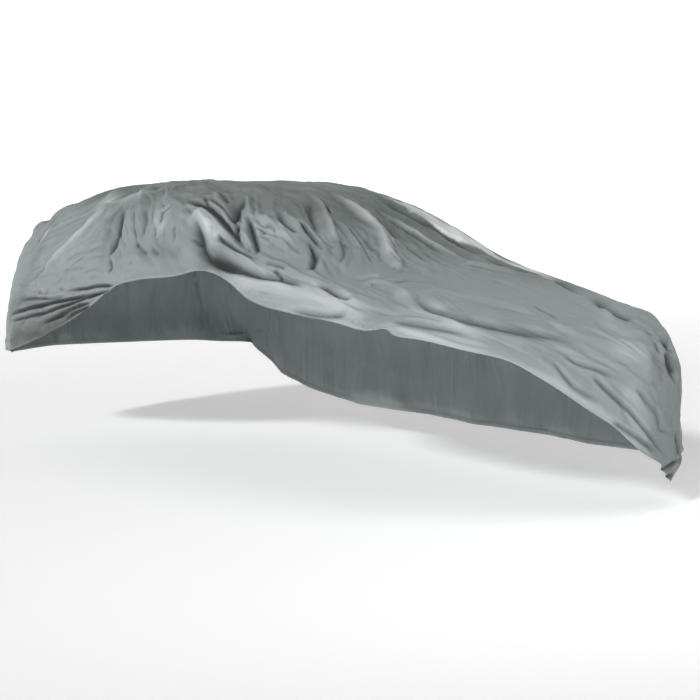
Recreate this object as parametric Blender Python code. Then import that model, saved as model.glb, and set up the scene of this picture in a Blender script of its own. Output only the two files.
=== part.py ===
"""A car cover, one piece of cloth, in the shape in which it hangs when its near side is pulled up.

Metres, +X to the front of the cover, +Y to its far side, +Z up.
The tables give heights above the floor. The finished cloth is placed so that the origin
is the point under its top that carries it.
"""

import bmesh
import bpy
import numpy as np

CLOTH_THICKNESS = 0.0025
CARRIED_AT = (-0.5, 0.0, 1.5535)

# The shape in which the cloth hangs, in sections that follow one another over the top, from the
# front hem to the rear hem. Each row: name, crown (ahead, height), then (ahead, across, height)
# of the rail, the belt, the flank and the foot of one half. The other half mirrors it.
SECTIONS = [
    ("front hem", (2.44, 0.16), (2.40, 0.42, 0.05), (2.255, 0.76, 0.195),
        (2.16, 0.85, 0.235), (2.04, 0.90, 0.20)),
    ("front face", (2.48, 0.42), (2.45, 0.42, 0.42), (2.26, 0.75, 0.42),
        (2.13, 0.86, 0.34), (2.00, 0.91, 0.20)),
    ("front lip", (2.46, 0.72), (2.43, 0.44, 0.74), (2.25, 0.76, 0.70),
        (2.08, 0.89, 0.50), (1.92, 0.93, 0.20)),
    ("front edge", (2.30, 0.88), (2.27, 0.46, 0.90), (2.12, 0.76, 0.86),
        (1.98, 0.91, 0.56), (1.84, 0.94, 0.20)),
    ("low top, front", (2.02, 0.96), (2.00, 0.48, 0.975), (1.90, 0.77, 0.895),
        (1.80, 0.92, 0.58), (1.74, 0.94, 0.20)),
    ("low top, rear", (1.60, 1.04), (1.60, 0.50, 1.055), (1.56, 0.79, 0.965),
        (1.52, 0.93, 0.61), (1.50, 0.94, 0.20)),
    ("foot of the slope", (1.14, 1.16), (1.14, 0.53, 1.165), (1.12, 0.81, 1.005),
        (1.12, 0.93, 0.64), (1.12, 0.94, 0.20)),
    ("slope", (0.68, 1.34), (0.68, 0.54, 1.32), (0.68, 0.83, 1.035),
        (0.68, 0.93, 0.66), (0.68, 0.94, 0.20)),
    ("high top, front", (0.28, 1.47), (0.28, 0.55, 1.43), (0.28, 0.84, 1.06),
        (0.28, 0.93, 0.68), (0.28, 0.94, 0.20)),
    ("high top, crest", (-0.20, 1.545), (-0.20, 0.56, 1.49), (-0.20, 0.85, 1.08),
        (-0.20, 0.93, 0.68), (-0.20, 0.94, 0.20)),
    ("high top, middle", (-0.80, 1.56), (-0.80, 0.56, 1.505), (-0.80, 0.85, 1.10),
        (-0.80, 0.93, 0.68), (-0.80, 0.94, 0.20)),
    ("high top, rear", (-1.35, 1.54), (-1.35, 0.56, 1.49), (-1.35, 0.86, 1.12),
        (-1.35, 0.94, 0.69), (-1.35, 0.94, 0.23)),
    ("tail top", (-1.85, 1.47), (-1.83, 0.56, 1.43), (-1.81, 0.84, 1.12),
        (-1.78, 0.93, 0.71), (-1.75, 0.935, 0.31)),
    ("tail edge", (-2.22, 1.33), (-2.19, 0.54, 1.31), (-2.09, 0.80, 1.08),
        (-2.00, 0.90, 0.72), (-1.94, 0.91, 0.40)),
    ("rear face", (-2.38, 1.05), (-2.34, 0.51, 1.03), (-2.225, 0.755, 0.92),
        (-2.12, 0.855, 0.68), (-2.06, 0.875, 0.47)),
    ("rear lower", (-2.44, 0.76), (-2.40, 0.47, 0.76), (-2.29, 0.74, 0.71),
        (-2.18, 0.84, 0.61), (-2.10, 0.865, 0.505)),
    ("rear hem", (-2.41, 0.52), (-2.36, 0.46, 0.52), (-2.25, 0.72, 0.51),
        (-2.165, 0.81, 0.51), (-2.09, 0.845, 0.51)),
]
# Reach counts across a section: 0 at the crown, 1 at the far foot, -1 at the near foot.
REACH_OF_COLUMNS = (0.0, 0.30, 0.55, 0.75, 1.0)

# The lifted hem of the near side: distance along the crown line, and the reach where the cloth ends.
NEAR_HEM = [
    (0.00, 0.460),
    (0.07, 0.410),
    (0.14, 0.350),
    (0.19, 0.245),
    (0.31, 0.090),
    (0.41, -0.040),
    (0.52, -0.180),
    (0.61, -0.290),
    (0.67, -0.420),
    (0.73, -0.505),
    (0.93, -0.550),
    (1.28, -0.575),
    (1.75, -0.592),
    (2.19, -0.576),
    (2.45, -0.537),
    (2.70, -0.522),
    (3.07, -0.557),
    (3.42, -0.579),
    (3.67, -0.604),
    (3.91, -0.657),
    (4.17, -0.708),
    (4.46, -0.752),
    (4.81, -0.803),
    (5.41, -0.885),
    (5.85, -0.940),
    (6.29, -0.960),
]

# Folds, from the photo. Each row: name, the (along, reach) of the places its line runs through, its half
# width on the left and on the right of that line as seen from outside, and how far it stands out of the
# cloth. A valley has a negative height.
FOLDS = [
    # where the near side is pinched together, and what fans out from there
    ("pinch crease, upper", [(3.38, -0.328), (3.09, -0.345), (2.84, -0.371), (2.49, -0.422)],
        0.030, 0.022, -0.030),
    ("pinch ridge, upper", [(3.24, -0.353), (2.95, -0.382), (2.71, -0.399), (2.44, -0.433)],
        0.045, 0.040, 0.033),
    ("pinch crease, lower", [(2.77, -0.413), (2.66, -0.431), (2.49, -0.442), (2.29, -0.445)],
        0.022, 0.022, -0.022),
    ("pinch ridge, lower", [(2.88, -0.416), (2.69, -0.445), (2.45, -0.456), (2.14, -0.471)],
        0.030, 0.040, 0.033),
    ("side valley", [(3.14, -0.373), (2.99, -0.422), (2.81, -0.476), (2.64, -0.488), (2.15, -0.491)],
        0.050, 0.060, -0.043),
    ("fan crease, rear", [(3.21, -0.308), (3.11, -0.328), (3.04, -0.351)], 0.022, 0.022, -0.018),
    ("fan wedge", [(3.20, -0.262), (3.03, -0.310), (2.91, -0.328), (2.77, -0.356)], 0.035, 0.030, 0.027),
    ("fan crease, top", [(3.24, -0.247), (3.08, -0.276), (2.95, -0.305)], 0.022, 0.022, -0.020),
    ("fan valley", [(2.95, -0.250), (2.85, -0.313), (2.75, -0.359)], 0.035, 0.035, -0.030),
    ("fan ridge", [(2.86, -0.259), (2.73, -0.328), (2.59, -0.371), (2.47, -0.416)], 0.025, 0.025, 0.022),
    ("fan crease, front", [(2.74, -0.310), (2.62, -0.342), (2.48, -0.382), (2.33, -0.428)],
        0.022, 0.022, -0.030),
    # down the slope between the high and the low top
    ("slope crease, left", [(2.63, -0.236), (2.47, -0.262), (2.32, -0.265)], 0.022, 0.022, -0.020),
    ("slope crease, right", [(2.53, -0.225), (2.43, -0.219), (2.30, -0.227), (2.16, -0.236)],
        0.022, 0.022, -0.022),
    ("slope short ridge", [(2.61, -0.230), (2.50, -0.233), (2.34, -0.233)], 0.022, 0.022, 0.015),
    ("slope curved valley", [(2.24, -0.253), (2.05, -0.305), (1.89, -0.396)], 0.030, 0.022, -0.025),
    ("slope long ridge",
        [(3.05, 0.070), (2.62, 0.024), (2.28, -0.007), (2.04, -0.070), (1.84, -0.107), (1.84, -0.027)],
        0.050, 0.022, 0.033),
    ("slope long crease", [(3.11, 0.076), (2.74, 0.053), (2.40, 0.041), (2.13, 0.039), (1.89, 0.024)],
        0.022, 0.030, -0.027),
    ("slope far band", [(2.88, 0.150), (2.53, 0.170), (2.23, 0.205), (1.95, 0.227)], 0.045, 0.060, -0.033),
    ("slope edge ridge", [(2.85, 0.196), (2.52, 0.239), (2.26, 0.270), (1.95, 0.282)], 0.040, 0.040, 0.018),
    ("slope ridge, middle", [(2.98, -0.036), (2.63, -0.090), (2.37, -0.144), (2.20, -0.176)],
        0.028, 0.028, 0.022),
    ("slope crease, middle", [(2.94, -0.033), (2.57, -0.076), (2.35, -0.087), (2.15, -0.107)],
        0.022, 0.022, -0.018),
    ("step ridge", [(1.59, -0.336), (1.55, -0.282), (1.40, -0.273), (1.20, -0.325)], 0.028, 0.022, 0.015),
    # over the near side in front of the pinch, and the low top
    ("side flap", [(2.81, -0.479), (2.59, -0.494), (2.27, -0.499), (1.96, -0.482), (1.77, -0.479)],
        0.030, 0.022, -0.018),
    ("side crease", [(1.77, -0.442), (1.60, -0.465), (1.47, -0.482), (1.39, -0.465)], 0.022, 0.022, -0.025),
    ("low top ridge", [(1.45, -0.165), (1.30, -0.150), (1.11, -0.053), (0.89, 0.013)], 0.035, 0.035, 0.018),
    ("low top valley", [(1.41, -0.236), (1.12, -0.308), (0.89, -0.302), (0.77, -0.156), (0.69, 0.096)],
        0.040, 0.030, -0.020),
    ("near edge valley", [(0.96, -0.505), (0.82, -0.456), (0.74, -0.313)], 0.025, 0.025, -0.015),
    ("low top valley, far", [(1.96, 0.222), (1.77, 0.236), (1.52, 0.336), (1.16, 0.273)],
        0.030, 0.030, -0.018),
    ("wedge valley", [(1.18, 0.336), (0.91, 0.256), (0.79, 0.308)], 0.040, 0.040, -0.022),
    # down the front to the far corner
    ("front crease, upper", [(0.66, -0.044), (0.60, -0.019), (0.55, 0.050), (0.48, 0.142)],
        0.022, 0.022, -0.022),
    ("front crease, middle", [(0.62, -0.096), (0.54, -0.079), (0.46, -0.027), (0.38, 0.096)],
        0.022, 0.022, -0.020),
    ("front crease, long", [(0.54, 0.027), (0.44, 0.087), (0.30, 0.225), (0.10, 0.462)],
        0.022, 0.022, -0.022),
    ("corner valley", [(0.44, 0.196), (0.38, 0.250), (0.31, 0.322), (0.24, 0.379)], 0.022, 0.022, -0.018),
    ("corner pocket", [(0.65, 0.376), (0.62, 0.419), (0.61, 0.476)], 0.030, 0.030, -0.037),
    ("corner shade", [(0.59, 0.371), (0.53, 0.411), (0.45, 0.476)], 0.045, 0.045, -0.027),
    ("tip crease", [(0.32, 0.099), (0.25, 0.202), (0.16, 0.371)], 0.022, 0.022, -0.018),
    # round the near rear corner
    ("tail ridge", [(4.21, -0.327), (4.22, -0.391), (4.29, -0.467), (4.49, -0.563), (4.76, -0.631)],
        0.055, 0.024, 0.045),
    ("tail valley, upper", [(4.22, -0.335), (4.27, -0.403), (4.37, -0.487), (4.62, -0.575)],
        0.022, 0.032, -0.030),
    ("tail valley, lower", [(4.06, -0.363), (3.94, -0.431), (3.89, -0.479), (3.85, -0.539)],
        0.040, 0.030, -0.027),
    ("tail notch", [(4.99, -0.383), (4.95, -0.427), (4.99, -0.467), (5.01, -0.503)], 0.030, 0.030, -0.030),
    ("tail notch ridge", [(5.19, -0.373), (5.25, -0.411), (5.25, -0.459)], 0.025, 0.025, 0.018),
    ("tail bulge", [(4.75, -0.600), (4.66, -0.635), (4.55, -0.652)], 0.035, 0.030, 0.018),
    # pleats that gather where the near hem turns up
    ("pleat, bulge", [(5.11, -0.683), (4.83, -0.671), (4.64, -0.665), (4.40, -0.659), (4.22, -0.643)],
        0.022, 0.022, -0.025),
    ("pleat, short", [(4.30, -0.635), (4.05, -0.619), (3.88, -0.607), (3.69, -0.603)],
        0.022, 0.022, -0.025),
    ("pleat, deep", [(5.57, -0.727), (4.86, -0.703), (4.56, -0.679), (4.30, -0.659), (3.86, -0.627)],
        0.022, 0.022, -0.040),
    ("pleat ridge, upper", [(5.22, -0.703), (4.82, -0.683), (4.52, -0.663), (4.28, -0.643), (3.97, -0.623)],
        0.022, 0.022, 0.020),
    ("pleat, long", [(5.30, -0.743), (4.69, -0.711), (4.20, -0.667), (3.98, -0.639), (3.65, -0.607)],
        0.022, 0.022, -0.032),
    ("pleat, low", [(4.61, -0.731), (4.40, -0.711), (4.25, -0.691), (4.08, -0.667), (3.93, -0.651)],
        0.022, 0.022, -0.026),
]
# Plain hanging folds of the sides that face away: name, places, half width and height.
HANGING_FOLDS = [
    ("far front corner", [(0.62, 0.60), (0.52, 0.80), (0.42, 1.00)], 0.07, -0.022),
    ("far side, first ridge", [(1.12, 0.58), (1.10, 0.80), (1.06, 1.02)], 0.09, 0.024),
    ("far side, first valley", [(1.58, 0.60), (1.60, 0.80), (1.66, 1.02)], 0.08, -0.024),
    ("far side, second ridge", [(2.22, 0.56), (2.18, 0.80), (2.12, 1.02)], 0.11, 0.026),
    ("far side, second valley", [(2.74, 0.58), (2.75, 0.80), (2.80, 1.02)], 0.09, -0.026),
    ("far side, third ridge", [(3.36, 0.55), (3.35, 0.80), (3.30, 1.02)], 0.12, 0.024),
    ("far side, third valley", [(3.92, 0.58), (3.95, 0.80), (4.02, 1.02)], 0.09, -0.024),
    ("far side, fourth ridge", [(4.44, 0.56), (4.43, 0.80), (4.40, 1.02)], 0.10, 0.026),
    ("far side, fourth valley", [(4.96, 0.58), (5.00, 0.80), (5.10, 1.02)], 0.08, -0.026),
    ("far rear corner", [(5.42, 0.52), (5.75, 0.70), (6.05, 0.84)], 0.09, 0.024),
    ("rear, far side", [(5.58, 0.30), (6.00, 0.35), (6.34, 0.40)], 0.08, -0.024),
    ("rear, middle", [(5.60, 0.04), (6.00, 0.06), (6.34, 0.08)], 0.10, 0.024),
    ("rear, near side", [(5.58, -0.24), (6.00, -0.27), (6.34, -0.30)], 0.08, -0.024),
    ("near rear corner", [(5.52, -0.48), (5.90, -0.58), (6.30, -0.66)], 0.09, 0.022),
]
CREST_SOFTNESS = 0.010
CURVE_STEPS = 14
# The mesh starts as a fine grid. Each row: a distance along the crown, and the pitch from there on.
PITCH_ALONG = [(0.0, 0.040), (0.85, 0.050), (1.75, 0.032), (3.45, 0.045), (5.20, 0.075)]
COLUMNS = 96
NEAR_CROWDING = 0.62
# It is then thinned out to this many triangles a side, which leaves the most where the folds are.
SIDE_TRIANGLES = 5680

CLOTH_COLOUR = (0.235, 0.275, 0.280, 1.0)
CLOTH_ROUGHNESS = 0.55


def clear_scene():
    for item in list(bpy.data.objects):
        bpy.data.objects.remove(item)


def smooth_through(knots, values, at):
    """A smooth curve through values at knots, read at each position of at."""
    knots = np.asarray(knots, float)
    values = np.asarray(values, float).reshape(len(knots), -1)
    gaps = np.diff(knots)[:, None]
    slopes = np.diff(values, axis=0) / gaps
    tangents = np.concatenate([slopes[:1], slopes])
    tangents[1:-1] = (slopes[:-1] * gaps[1:] + slopes[1:] * gaps[:-1]) / (gaps[:-1] + gaps[1:])
    first = np.clip(np.searchsorted(knots, at, side="right") - 1, 0, len(knots) - 2)
    gap = gaps[first]
    share = (np.asarray(at)[:, None] - knots[first][:, None]) / gap
    start = (2 * share**3 - 3 * share**2 + 1) * values[first]
    start += (share**3 - 2 * share**2 + share) * gap * tangents[first]
    end = (3 * share**2 - 2 * share**3) * values[first + 1]
    end += (share**3 - share**2) * gap * tangents[first + 1]
    return start + end


def section_columns():
    """The table as an array: section, column, (ahead, across, height)."""
    rows = []
    for name, crown, *others in SECTIONS:
        rows.append([(crown[0], 0.0, crown[1]), *others])
    return np.array(rows)


def crown_distances(columns):
    steps = np.linalg.norm(np.diff(columns[:, 0], axis=0), axis=1)
    return np.concatenate([[0.0], np.cumsum(steps)])


def cloth_form(along, reach):
    """Points of the smooth form, one for each pair of along and reach, with no folds yet."""
    columns = section_columns()
    distances = crown_distances(columns)
    far = np.asarray(REACH_OF_COLUMNS)
    knots = np.concatenate([-far[:0:-1], far])
    points = np.empty((len(along), 3))
    section = np.stack([smooth_through(distances, columns[:, k], along) for k in range(len(far))], axis=1)
    mirrored = section[:, :0:-1] * (1.0, -1.0, 1.0)
    whole = np.concatenate([mirrored, section], axis=1)
    for place in range(len(along)):
        points[place] = smooth_through(knots, whole[place], reach[place : place + 1])[0]
    return points


def outward(points):
    """Unit normals of a grid of points, away from what the cloth covers."""
    normals = np.cross(np.gradient(points, axis=1), np.gradient(points, axis=0))
    return normals / np.linalg.norm(normals, axis=2, keepdims=True)


def nearest_on_curve(points, curve):
    """For each point: its gap to the curve, the way to it, the curve's run there, and how far along."""
    nearest = np.full(len(points), np.inf)
    away = np.zeros((len(points), 3))
    runs = np.zeros((len(points), 3))
    where = np.zeros(len(points))
    for number, (start, end) in enumerate(zip(curve[:-1], curve[1:])):
        run = end - start
        share = np.clip((points - start) @ run / (run @ run), 0.0, 1.0)
        offset = points - start - share[:, None] * run
        gap = np.linalg.norm(offset, axis=1)
        closer = gap < nearest
        nearest[closer] = gap[closer]
        away[closer] = offset[closer]
        runs[closer] = run
        where[closer] = (number + share[closer]) / (len(curve) - 1)
    return nearest, away, runs, where


def fold_lift(points, normals, places, left_width, right_width, height, fade_start=0.25, fade_end=0.25):
    """How far one fold lifts each point off the smooth form: a crest line with a soft slope on each side."""
    steps = np.linspace(0.0, 1.0, CURVE_STEPS + 1)
    route = smooth_through(np.linspace(0.0, 1.0, len(places)), places, steps)
    curve = cloth_form(route[:, 0], route[:, 1])
    gap, away, runs, where = nearest_on_curve(points, curve)
    on_left = np.einsum("ij,ij->i", np.cross(runs, away), normals) > 0.0
    width = np.where(on_left, left_width, right_width)
    slope = np.exp(-(np.hypot(gap, CREST_SOFTNESS) - CREST_SOFTNESS) / width)
    fade = np.clip(where / fade_start, 0.0, 1.0) * np.clip((1.0 - where) / fade_end, 0.0, 1.0)
    return height * slope * fade * fade * (3.0 - 2.0 * fade)


def stations_along(end):
    """Distances along the crown at which the mesh has a row of points."""
    stations = [0.0]
    while stations[-1] < end:
        pitch = [pitch for start, pitch in PITCH_ALONG if start <= stations[-1]][-1]
        stations.append(stations[-1] + pitch)
    return np.array(stations) * end / stations[-1]


def cloth_grid():
    """along and reach of each mesh point: a row for each station, from the near hem to the far foot."""
    end = crown_distances(section_columns())[-1]
    stations = stations_along(end)
    near = smooth_through([row[0] for row in NEAR_HEM], [row[1] for row in NEAR_HEM], stations)
    share = np.linspace(0.0, 1.0, COLUMNS + 1)
    share = (1.0 - NEAR_CROWDING) * share + NEAR_CROWDING * share**2
    reach = near + (1.0 - near) * share
    along = np.repeat(stations[:, None], COLUMNS + 1, axis=1)
    return along, reach


def draped_points():
    along, reach = cloth_grid()
    form = cloth_form(along.ravel(), reach.ravel()).reshape(along.shape + (3,))
    normals = outward(form)
    points = form.reshape(-1, 3)
    facing = normals.reshape(-1, 3)
    lift = np.zeros(len(points))
    for name, places, left_width, right_width, height in FOLDS:
        lift += fold_lift(points, facing, places, left_width, right_width, height)
    for name, places, half_width, height in HANGING_FOLDS:
        lift += fold_lift(points, facing, places, half_width, half_width, height, 0.6, 0.001)
    return form + lift.reshape(along.shape)[:, :, None] * normals


def cloth_material():
    material = bpy.data.materials.new("cover_cloth")
    material.use_nodes = True
    shader = material.node_tree.nodes["Principled BSDF"]
    shader.inputs["Base Color"].default_value = CLOTH_COLOUR
    shader.inputs["Roughness"].default_value = CLOTH_ROUGHNESS
    shader.inputs["Metallic"].default_value = 0.0
    return material


def make_cover():
    """The cover: its outer face, thinned out, and a Solidify that gives the cloth its thickness."""
    points = draped_points()
    rows, columns = points.shape[:2]
    shape = bmesh.new()
    corners = [[shape.verts.new(place) for place in row] for row in points - CARRIED_AT]
    for row in range(rows - 1):
        for column in range(columns - 1):
            quad = (
                corners[row][column],
                corners[row][column + 1],
                corners[row + 1][column + 1],
                corners[row + 1][column],
            )
            shape.faces.new(quad)
    mesh = bpy.data.meshes.new("cover")
    shape.to_mesh(mesh)
    shape.free()
    mesh.shade_smooth()
    mesh.materials.append(cloth_material())
    cover = bpy.data.objects.new("cover", mesh)
    bpy.context.scene.collection.objects.link(cover)
    thinning = cover.modifiers.new("thinning", "DECIMATE")
    thinning.ratio = SIDE_TRIANGLES / (2.0 * len(mesh.polygons))
    thickness = cover.modifiers.new("thickness", "SOLIDIFY")
    thickness.thickness = CLOTH_THICKNESS
    thickness.offset = -1.0
    return cover


clear_scene()
make_cover()
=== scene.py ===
# %% [markdown]
# # A car cover, draped
#
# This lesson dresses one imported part: a car cover of coated cloth, in the shape in which it hangs when
# its near side is pulled up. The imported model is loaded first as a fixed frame. Its solid gives the
# size and the shape in which the cloth lies, and a finer sheet, made here on the same form, takes its
# place in the picture.

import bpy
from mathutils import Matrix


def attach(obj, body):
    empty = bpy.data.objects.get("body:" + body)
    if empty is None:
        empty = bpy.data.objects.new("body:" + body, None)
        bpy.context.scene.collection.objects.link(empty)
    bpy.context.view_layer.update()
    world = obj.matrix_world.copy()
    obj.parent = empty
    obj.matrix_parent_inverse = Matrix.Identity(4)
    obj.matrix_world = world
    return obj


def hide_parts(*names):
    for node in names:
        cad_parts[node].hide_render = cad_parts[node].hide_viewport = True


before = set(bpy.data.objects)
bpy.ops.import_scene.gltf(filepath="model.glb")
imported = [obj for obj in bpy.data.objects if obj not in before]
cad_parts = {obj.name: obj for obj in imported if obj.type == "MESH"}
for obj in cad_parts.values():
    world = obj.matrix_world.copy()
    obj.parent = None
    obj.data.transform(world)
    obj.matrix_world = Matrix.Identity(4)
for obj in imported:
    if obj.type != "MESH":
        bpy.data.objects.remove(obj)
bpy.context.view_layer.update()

# %% Modules
import math

import bpy
import numpy as np
from mathutils import Vector

# %% [markdown]
# ## The form of the cloth
#
# A fitted cover is sewn to the outline of what it protects, so without its folds it is one smooth
# surface. It could be sculpted by hand, or shrink-wrapped on a model of what lies under it, but the
# cover is hollow and nothing under it is part of it. Here it is lofted through a few cross-sections
# instead: each row of the table gives one section from the crown of the cloth down to its foot, and
# the other half mirrors it. Two numbers then find any place on the cloth: `along`, in metres down the
# crown line from the front hem, and `reach`, from -1 at the near foot over 0 at the crown to 1 at the
# far foot.

# %% Sections of the form
CARRIED_AT = np.array((-0.5, 0.0, 1.5535))
SECTIONS = [
    ("front hem", (2.44, 0.16), (2.40, 0.42, 0.05), (2.255, 0.76, 0.195),
        (2.16, 0.85, 0.235), (2.04, 0.90, 0.20)),
    ("front face", (2.48, 0.42), (2.45, 0.42, 0.42), (2.26, 0.75, 0.42),
        (2.13, 0.86, 0.34), (2.00, 0.91, 0.20)),
    ("front lip", (2.46, 0.72), (2.43, 0.44, 0.74), (2.25, 0.76, 0.70),
        (2.08, 0.89, 0.50), (1.92, 0.93, 0.20)),
    ("front edge", (2.30, 0.88), (2.27, 0.46, 0.90), (2.12, 0.76, 0.86),
        (1.98, 0.91, 0.56), (1.84, 0.94, 0.20)),
    ("low top, front", (2.02, 0.96), (2.00, 0.48, 0.975), (1.90, 0.77, 0.895),
        (1.80, 0.92, 0.58), (1.74, 0.94, 0.20)),
    ("low top, rear", (1.60, 1.04), (1.60, 0.50, 1.055), (1.56, 0.79, 0.965),
        (1.52, 0.93, 0.61), (1.50, 0.94, 0.20)),
    ("foot of the slope", (1.14, 1.16), (1.14, 0.53, 1.165), (1.12, 0.81, 1.005),
        (1.12, 0.93, 0.64), (1.12, 0.94, 0.20)),
    ("slope", (0.68, 1.34), (0.68, 0.54, 1.32), (0.68, 0.83, 1.035),
        (0.68, 0.93, 0.66), (0.68, 0.94, 0.20)),
    ("high top, front", (0.28, 1.47), (0.28, 0.55, 1.43), (0.28, 0.84, 1.06),
        (0.28, 0.93, 0.68), (0.28, 0.94, 0.20)),
    ("high top, crest", (-0.20, 1.545), (-0.20, 0.56, 1.49), (-0.20, 0.85, 1.08),
        (-0.20, 0.93, 0.68), (-0.20, 0.94, 0.20)),
    ("high top, middle", (-0.80, 1.56), (-0.80, 0.56, 1.505), (-0.80, 0.85, 1.10),
        (-0.80, 0.93, 0.68), (-0.80, 0.94, 0.20)),
    ("high top, rear", (-1.35, 1.54), (-1.35, 0.56, 1.49), (-1.35, 0.86, 1.12),
        (-1.35, 0.94, 0.69), (-1.35, 0.94, 0.23)),
    ("tail top", (-1.85, 1.47), (-1.83, 0.56, 1.43), (-1.81, 0.84, 1.12),
        (-1.78, 0.93, 0.71), (-1.75, 0.935, 0.31)),
    ("tail edge", (-2.22, 1.33), (-2.19, 0.54, 1.31), (-2.09, 0.80, 1.08),
        (-2.00, 0.90, 0.72), (-1.94, 0.91, 0.40)),
    ("rear face", (-2.38, 1.05), (-2.34, 0.51, 1.03), (-2.225, 0.755, 0.92),
        (-2.12, 0.855, 0.68), (-2.06, 0.875, 0.47)),
    ("rear lower", (-2.44, 0.76), (-2.40, 0.47, 0.76), (-2.29, 0.74, 0.71),
        (-2.18, 0.84, 0.61), (-2.10, 0.865, 0.505)),
    ("rear hem", (-2.41, 0.52), (-2.36, 0.46, 0.52), (-2.25, 0.72, 0.51),
        (-2.165, 0.81, 0.51), (-2.09, 0.845, 0.51)),
]
REACH_OF_COLUMNS = (0.0, 0.30, 0.55, 0.75, 1.0)
print(len(SECTIONS), "sections")


# %% [markdown]
# A curve through the sections has to pass them without corners and without overshooting. A piecewise
# cubic that takes its slope at each knot from both neighbours does this, also where the knots are
# not evenly spaced.

# %% A smooth curve through knots
def smooth_through(knots, values, at):
    """A smooth curve through values at knots, read at each position of at."""
    knots = np.asarray(knots, float)
    values = np.asarray(values, float).reshape(len(knots), -1)
    gaps = np.diff(knots)[:, None]
    slopes = np.diff(values, axis=0) / gaps
    tangents = np.concatenate([slopes[:1], slopes])
    tangents[1:-1] = (slopes[:-1] * gaps[1:] + slopes[1:] * gaps[:-1]) / (gaps[:-1] + gaps[1:])
    first = np.clip(np.searchsorted(knots, at, side="right") - 1, 0, len(knots) - 2)
    gap = gaps[first]
    share = (np.asarray(at)[:, None] - knots[first][:, None]) / gap
    start = (2 * share**3 - 3 * share**2 + 1) * values[first]
    start += (share**3 - 2 * share**2 + share) * gap * tangents[first]
    end = (3 * share**2 - 2 * share**3) * values[first + 1]
    end += (share**3 - share**2) * gap * tangents[first + 1]
    return start + end


# %% Points of the form
def section_columns():
    """The table as an array: section, column, (ahead, across, height)."""
    rows = []
    for name, crown, *others in SECTIONS:
        rows.append([(crown[0], 0.0, crown[1]), *others])
    return np.array(rows) - CARRIED_AT


COLUMNS_OF_FORM = section_columns()
CROWN_STEPS = np.linalg.norm(np.diff(COLUMNS_OF_FORM[:, 0], axis=0), axis=1)
CROWN_DISTANCES = np.concatenate([[0.0], np.cumsum(CROWN_STEPS)])
CROWN_LENGTH = CROWN_DISTANCES[-1]


def section_at(along):
    """The knots of whole sections, from the near foot to the far foot, one section for each along."""
    columns = range(len(REACH_OF_COLUMNS))
    half = [smooth_through(CROWN_DISTANCES, COLUMNS_OF_FORM[:, k], along) for k in columns]
    section = np.stack(half, axis=1)
    mirrored = section[:, :0:-1] * (1.0, -1.0, 1.0)
    return np.concatenate([mirrored, section], axis=1)


REACH_KNOTS = np.concatenate([-np.array(REACH_OF_COLUMNS)[:0:-1], REACH_OF_COLUMNS])


def cloth_form(along, reach):
    """Points of the smooth form: along has one number a row, and reach the places in that row."""
    rows = section_at(along)
    return np.stack([smooth_through(REACH_KNOTS, row, places) for row, places in zip(rows, reach)])


print("crown line", round(CROWN_LENGTH, 3), "m")

# %% [markdown]
# ## Where the cloth ends
#
# Three sides of the cover hang to their full depth. The near side is pulled up, so its hem runs from
# the far front corner up over the low top, along the near side, and down again to the rear corner.
# That line is a short table, read with the same smooth curve.

# %% The lifted near hem
NEAR_HEM = [
    (0.00, 0.460),
    (0.07, 0.410),
    (0.14, 0.350),
    (0.19, 0.245),
    (0.31, 0.090),
    (0.41, -0.040),
    (0.52, -0.180),
    (0.61, -0.290),
    (0.67, -0.420),
    (0.73, -0.505),
    (0.93, -0.550),
    (1.28, -0.575),
    (1.75, -0.592),
    (2.19, -0.576),
    (2.45, -0.537),
    (2.70, -0.522),
    (3.07, -0.557),
    (3.42, -0.579),
    (3.67, -0.604),
    (3.91, -0.657),
    (4.17, -0.708),
    (4.46, -0.752),
    (4.81, -0.803),
    (5.41, -0.885),
    (5.85, -0.940),
    (6.29, -0.960),
]


def near_hem(along):
    """The reach of the lifted hem at each place along the crown."""
    knots, reach = zip(*NEAR_HEM)
    return smooth_through(knots, reach, along)[:, 0]


print("hem from reach", NEAR_HEM[0][1], "to", NEAR_HEM[-1][1])

# %% [markdown]
# ## A grid of cloth
#
# The sheet is a grid of small cells, closest together where the photographed side has its creases.
# Its edge is turned under once and sewn down, as any maker would do it: the grid runs to the edge,
# round it, and 22 mm back on the inside. A second strip laid on the cloth would look alike, but the
# turned edge is one piece with it on the real cover. The steps near the edge are the same all round,
# so the hem keeps its width.

# %% Rows of the grid
PITCH_ALONG = [(0.0, 0.0090), (0.85, 0.0115), (1.75, 0.0075), (3.30, 0.0090), (5.30, 0.0160)]
PITCH_SCALE = 1.0
HEM_WIDTH = 0.022
UNDER_STEPS = np.array((HEM_WIDTH, 0.019, 0.012, 0.005, 0.0015))
EDGE_STEPS = np.array((0.0, 0.0015, 0.005, 0.010, 0.015, 0.0185, 0.0205, 0.0225, 0.026, 0.033, 0.042))
TURNED = len(UNDER_STEPS)


def stations_along():
    """Distances along the crown at which the grid has a row, from under one hem to under the other."""
    stations = [EDGE_STEPS[-1]]
    last = CROWN_LENGTH - EDGE_STEPS[-1]
    while stations[-1] < last:
        pitch = [pitch for start, pitch in PITCH_ALONG if start <= stations[-1]][-1]
        stations.append(stations[-1] + pitch * PITCH_SCALE)
    inner = np.array(stations)
    inner = inner[0] + (inner - inner[0]) * (last - inner[0]) / (inner[-1] - inner[0])
    front = np.concatenate([UNDER_STEPS, EDGE_STEPS[:-1]])
    return np.concatenate([front, inner, CROWN_LENGTH - front[::-1]])


ALONG = stations_along()
NEAR = near_hem(ALONG)
print("rows", len(ALONG))

# %% Columns of the grid
COLUMNS = 330
NEAR_CROWDING = 0.45
GIRTH_INSET = 0.02
GIRTH_STEP = 0.01


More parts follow.
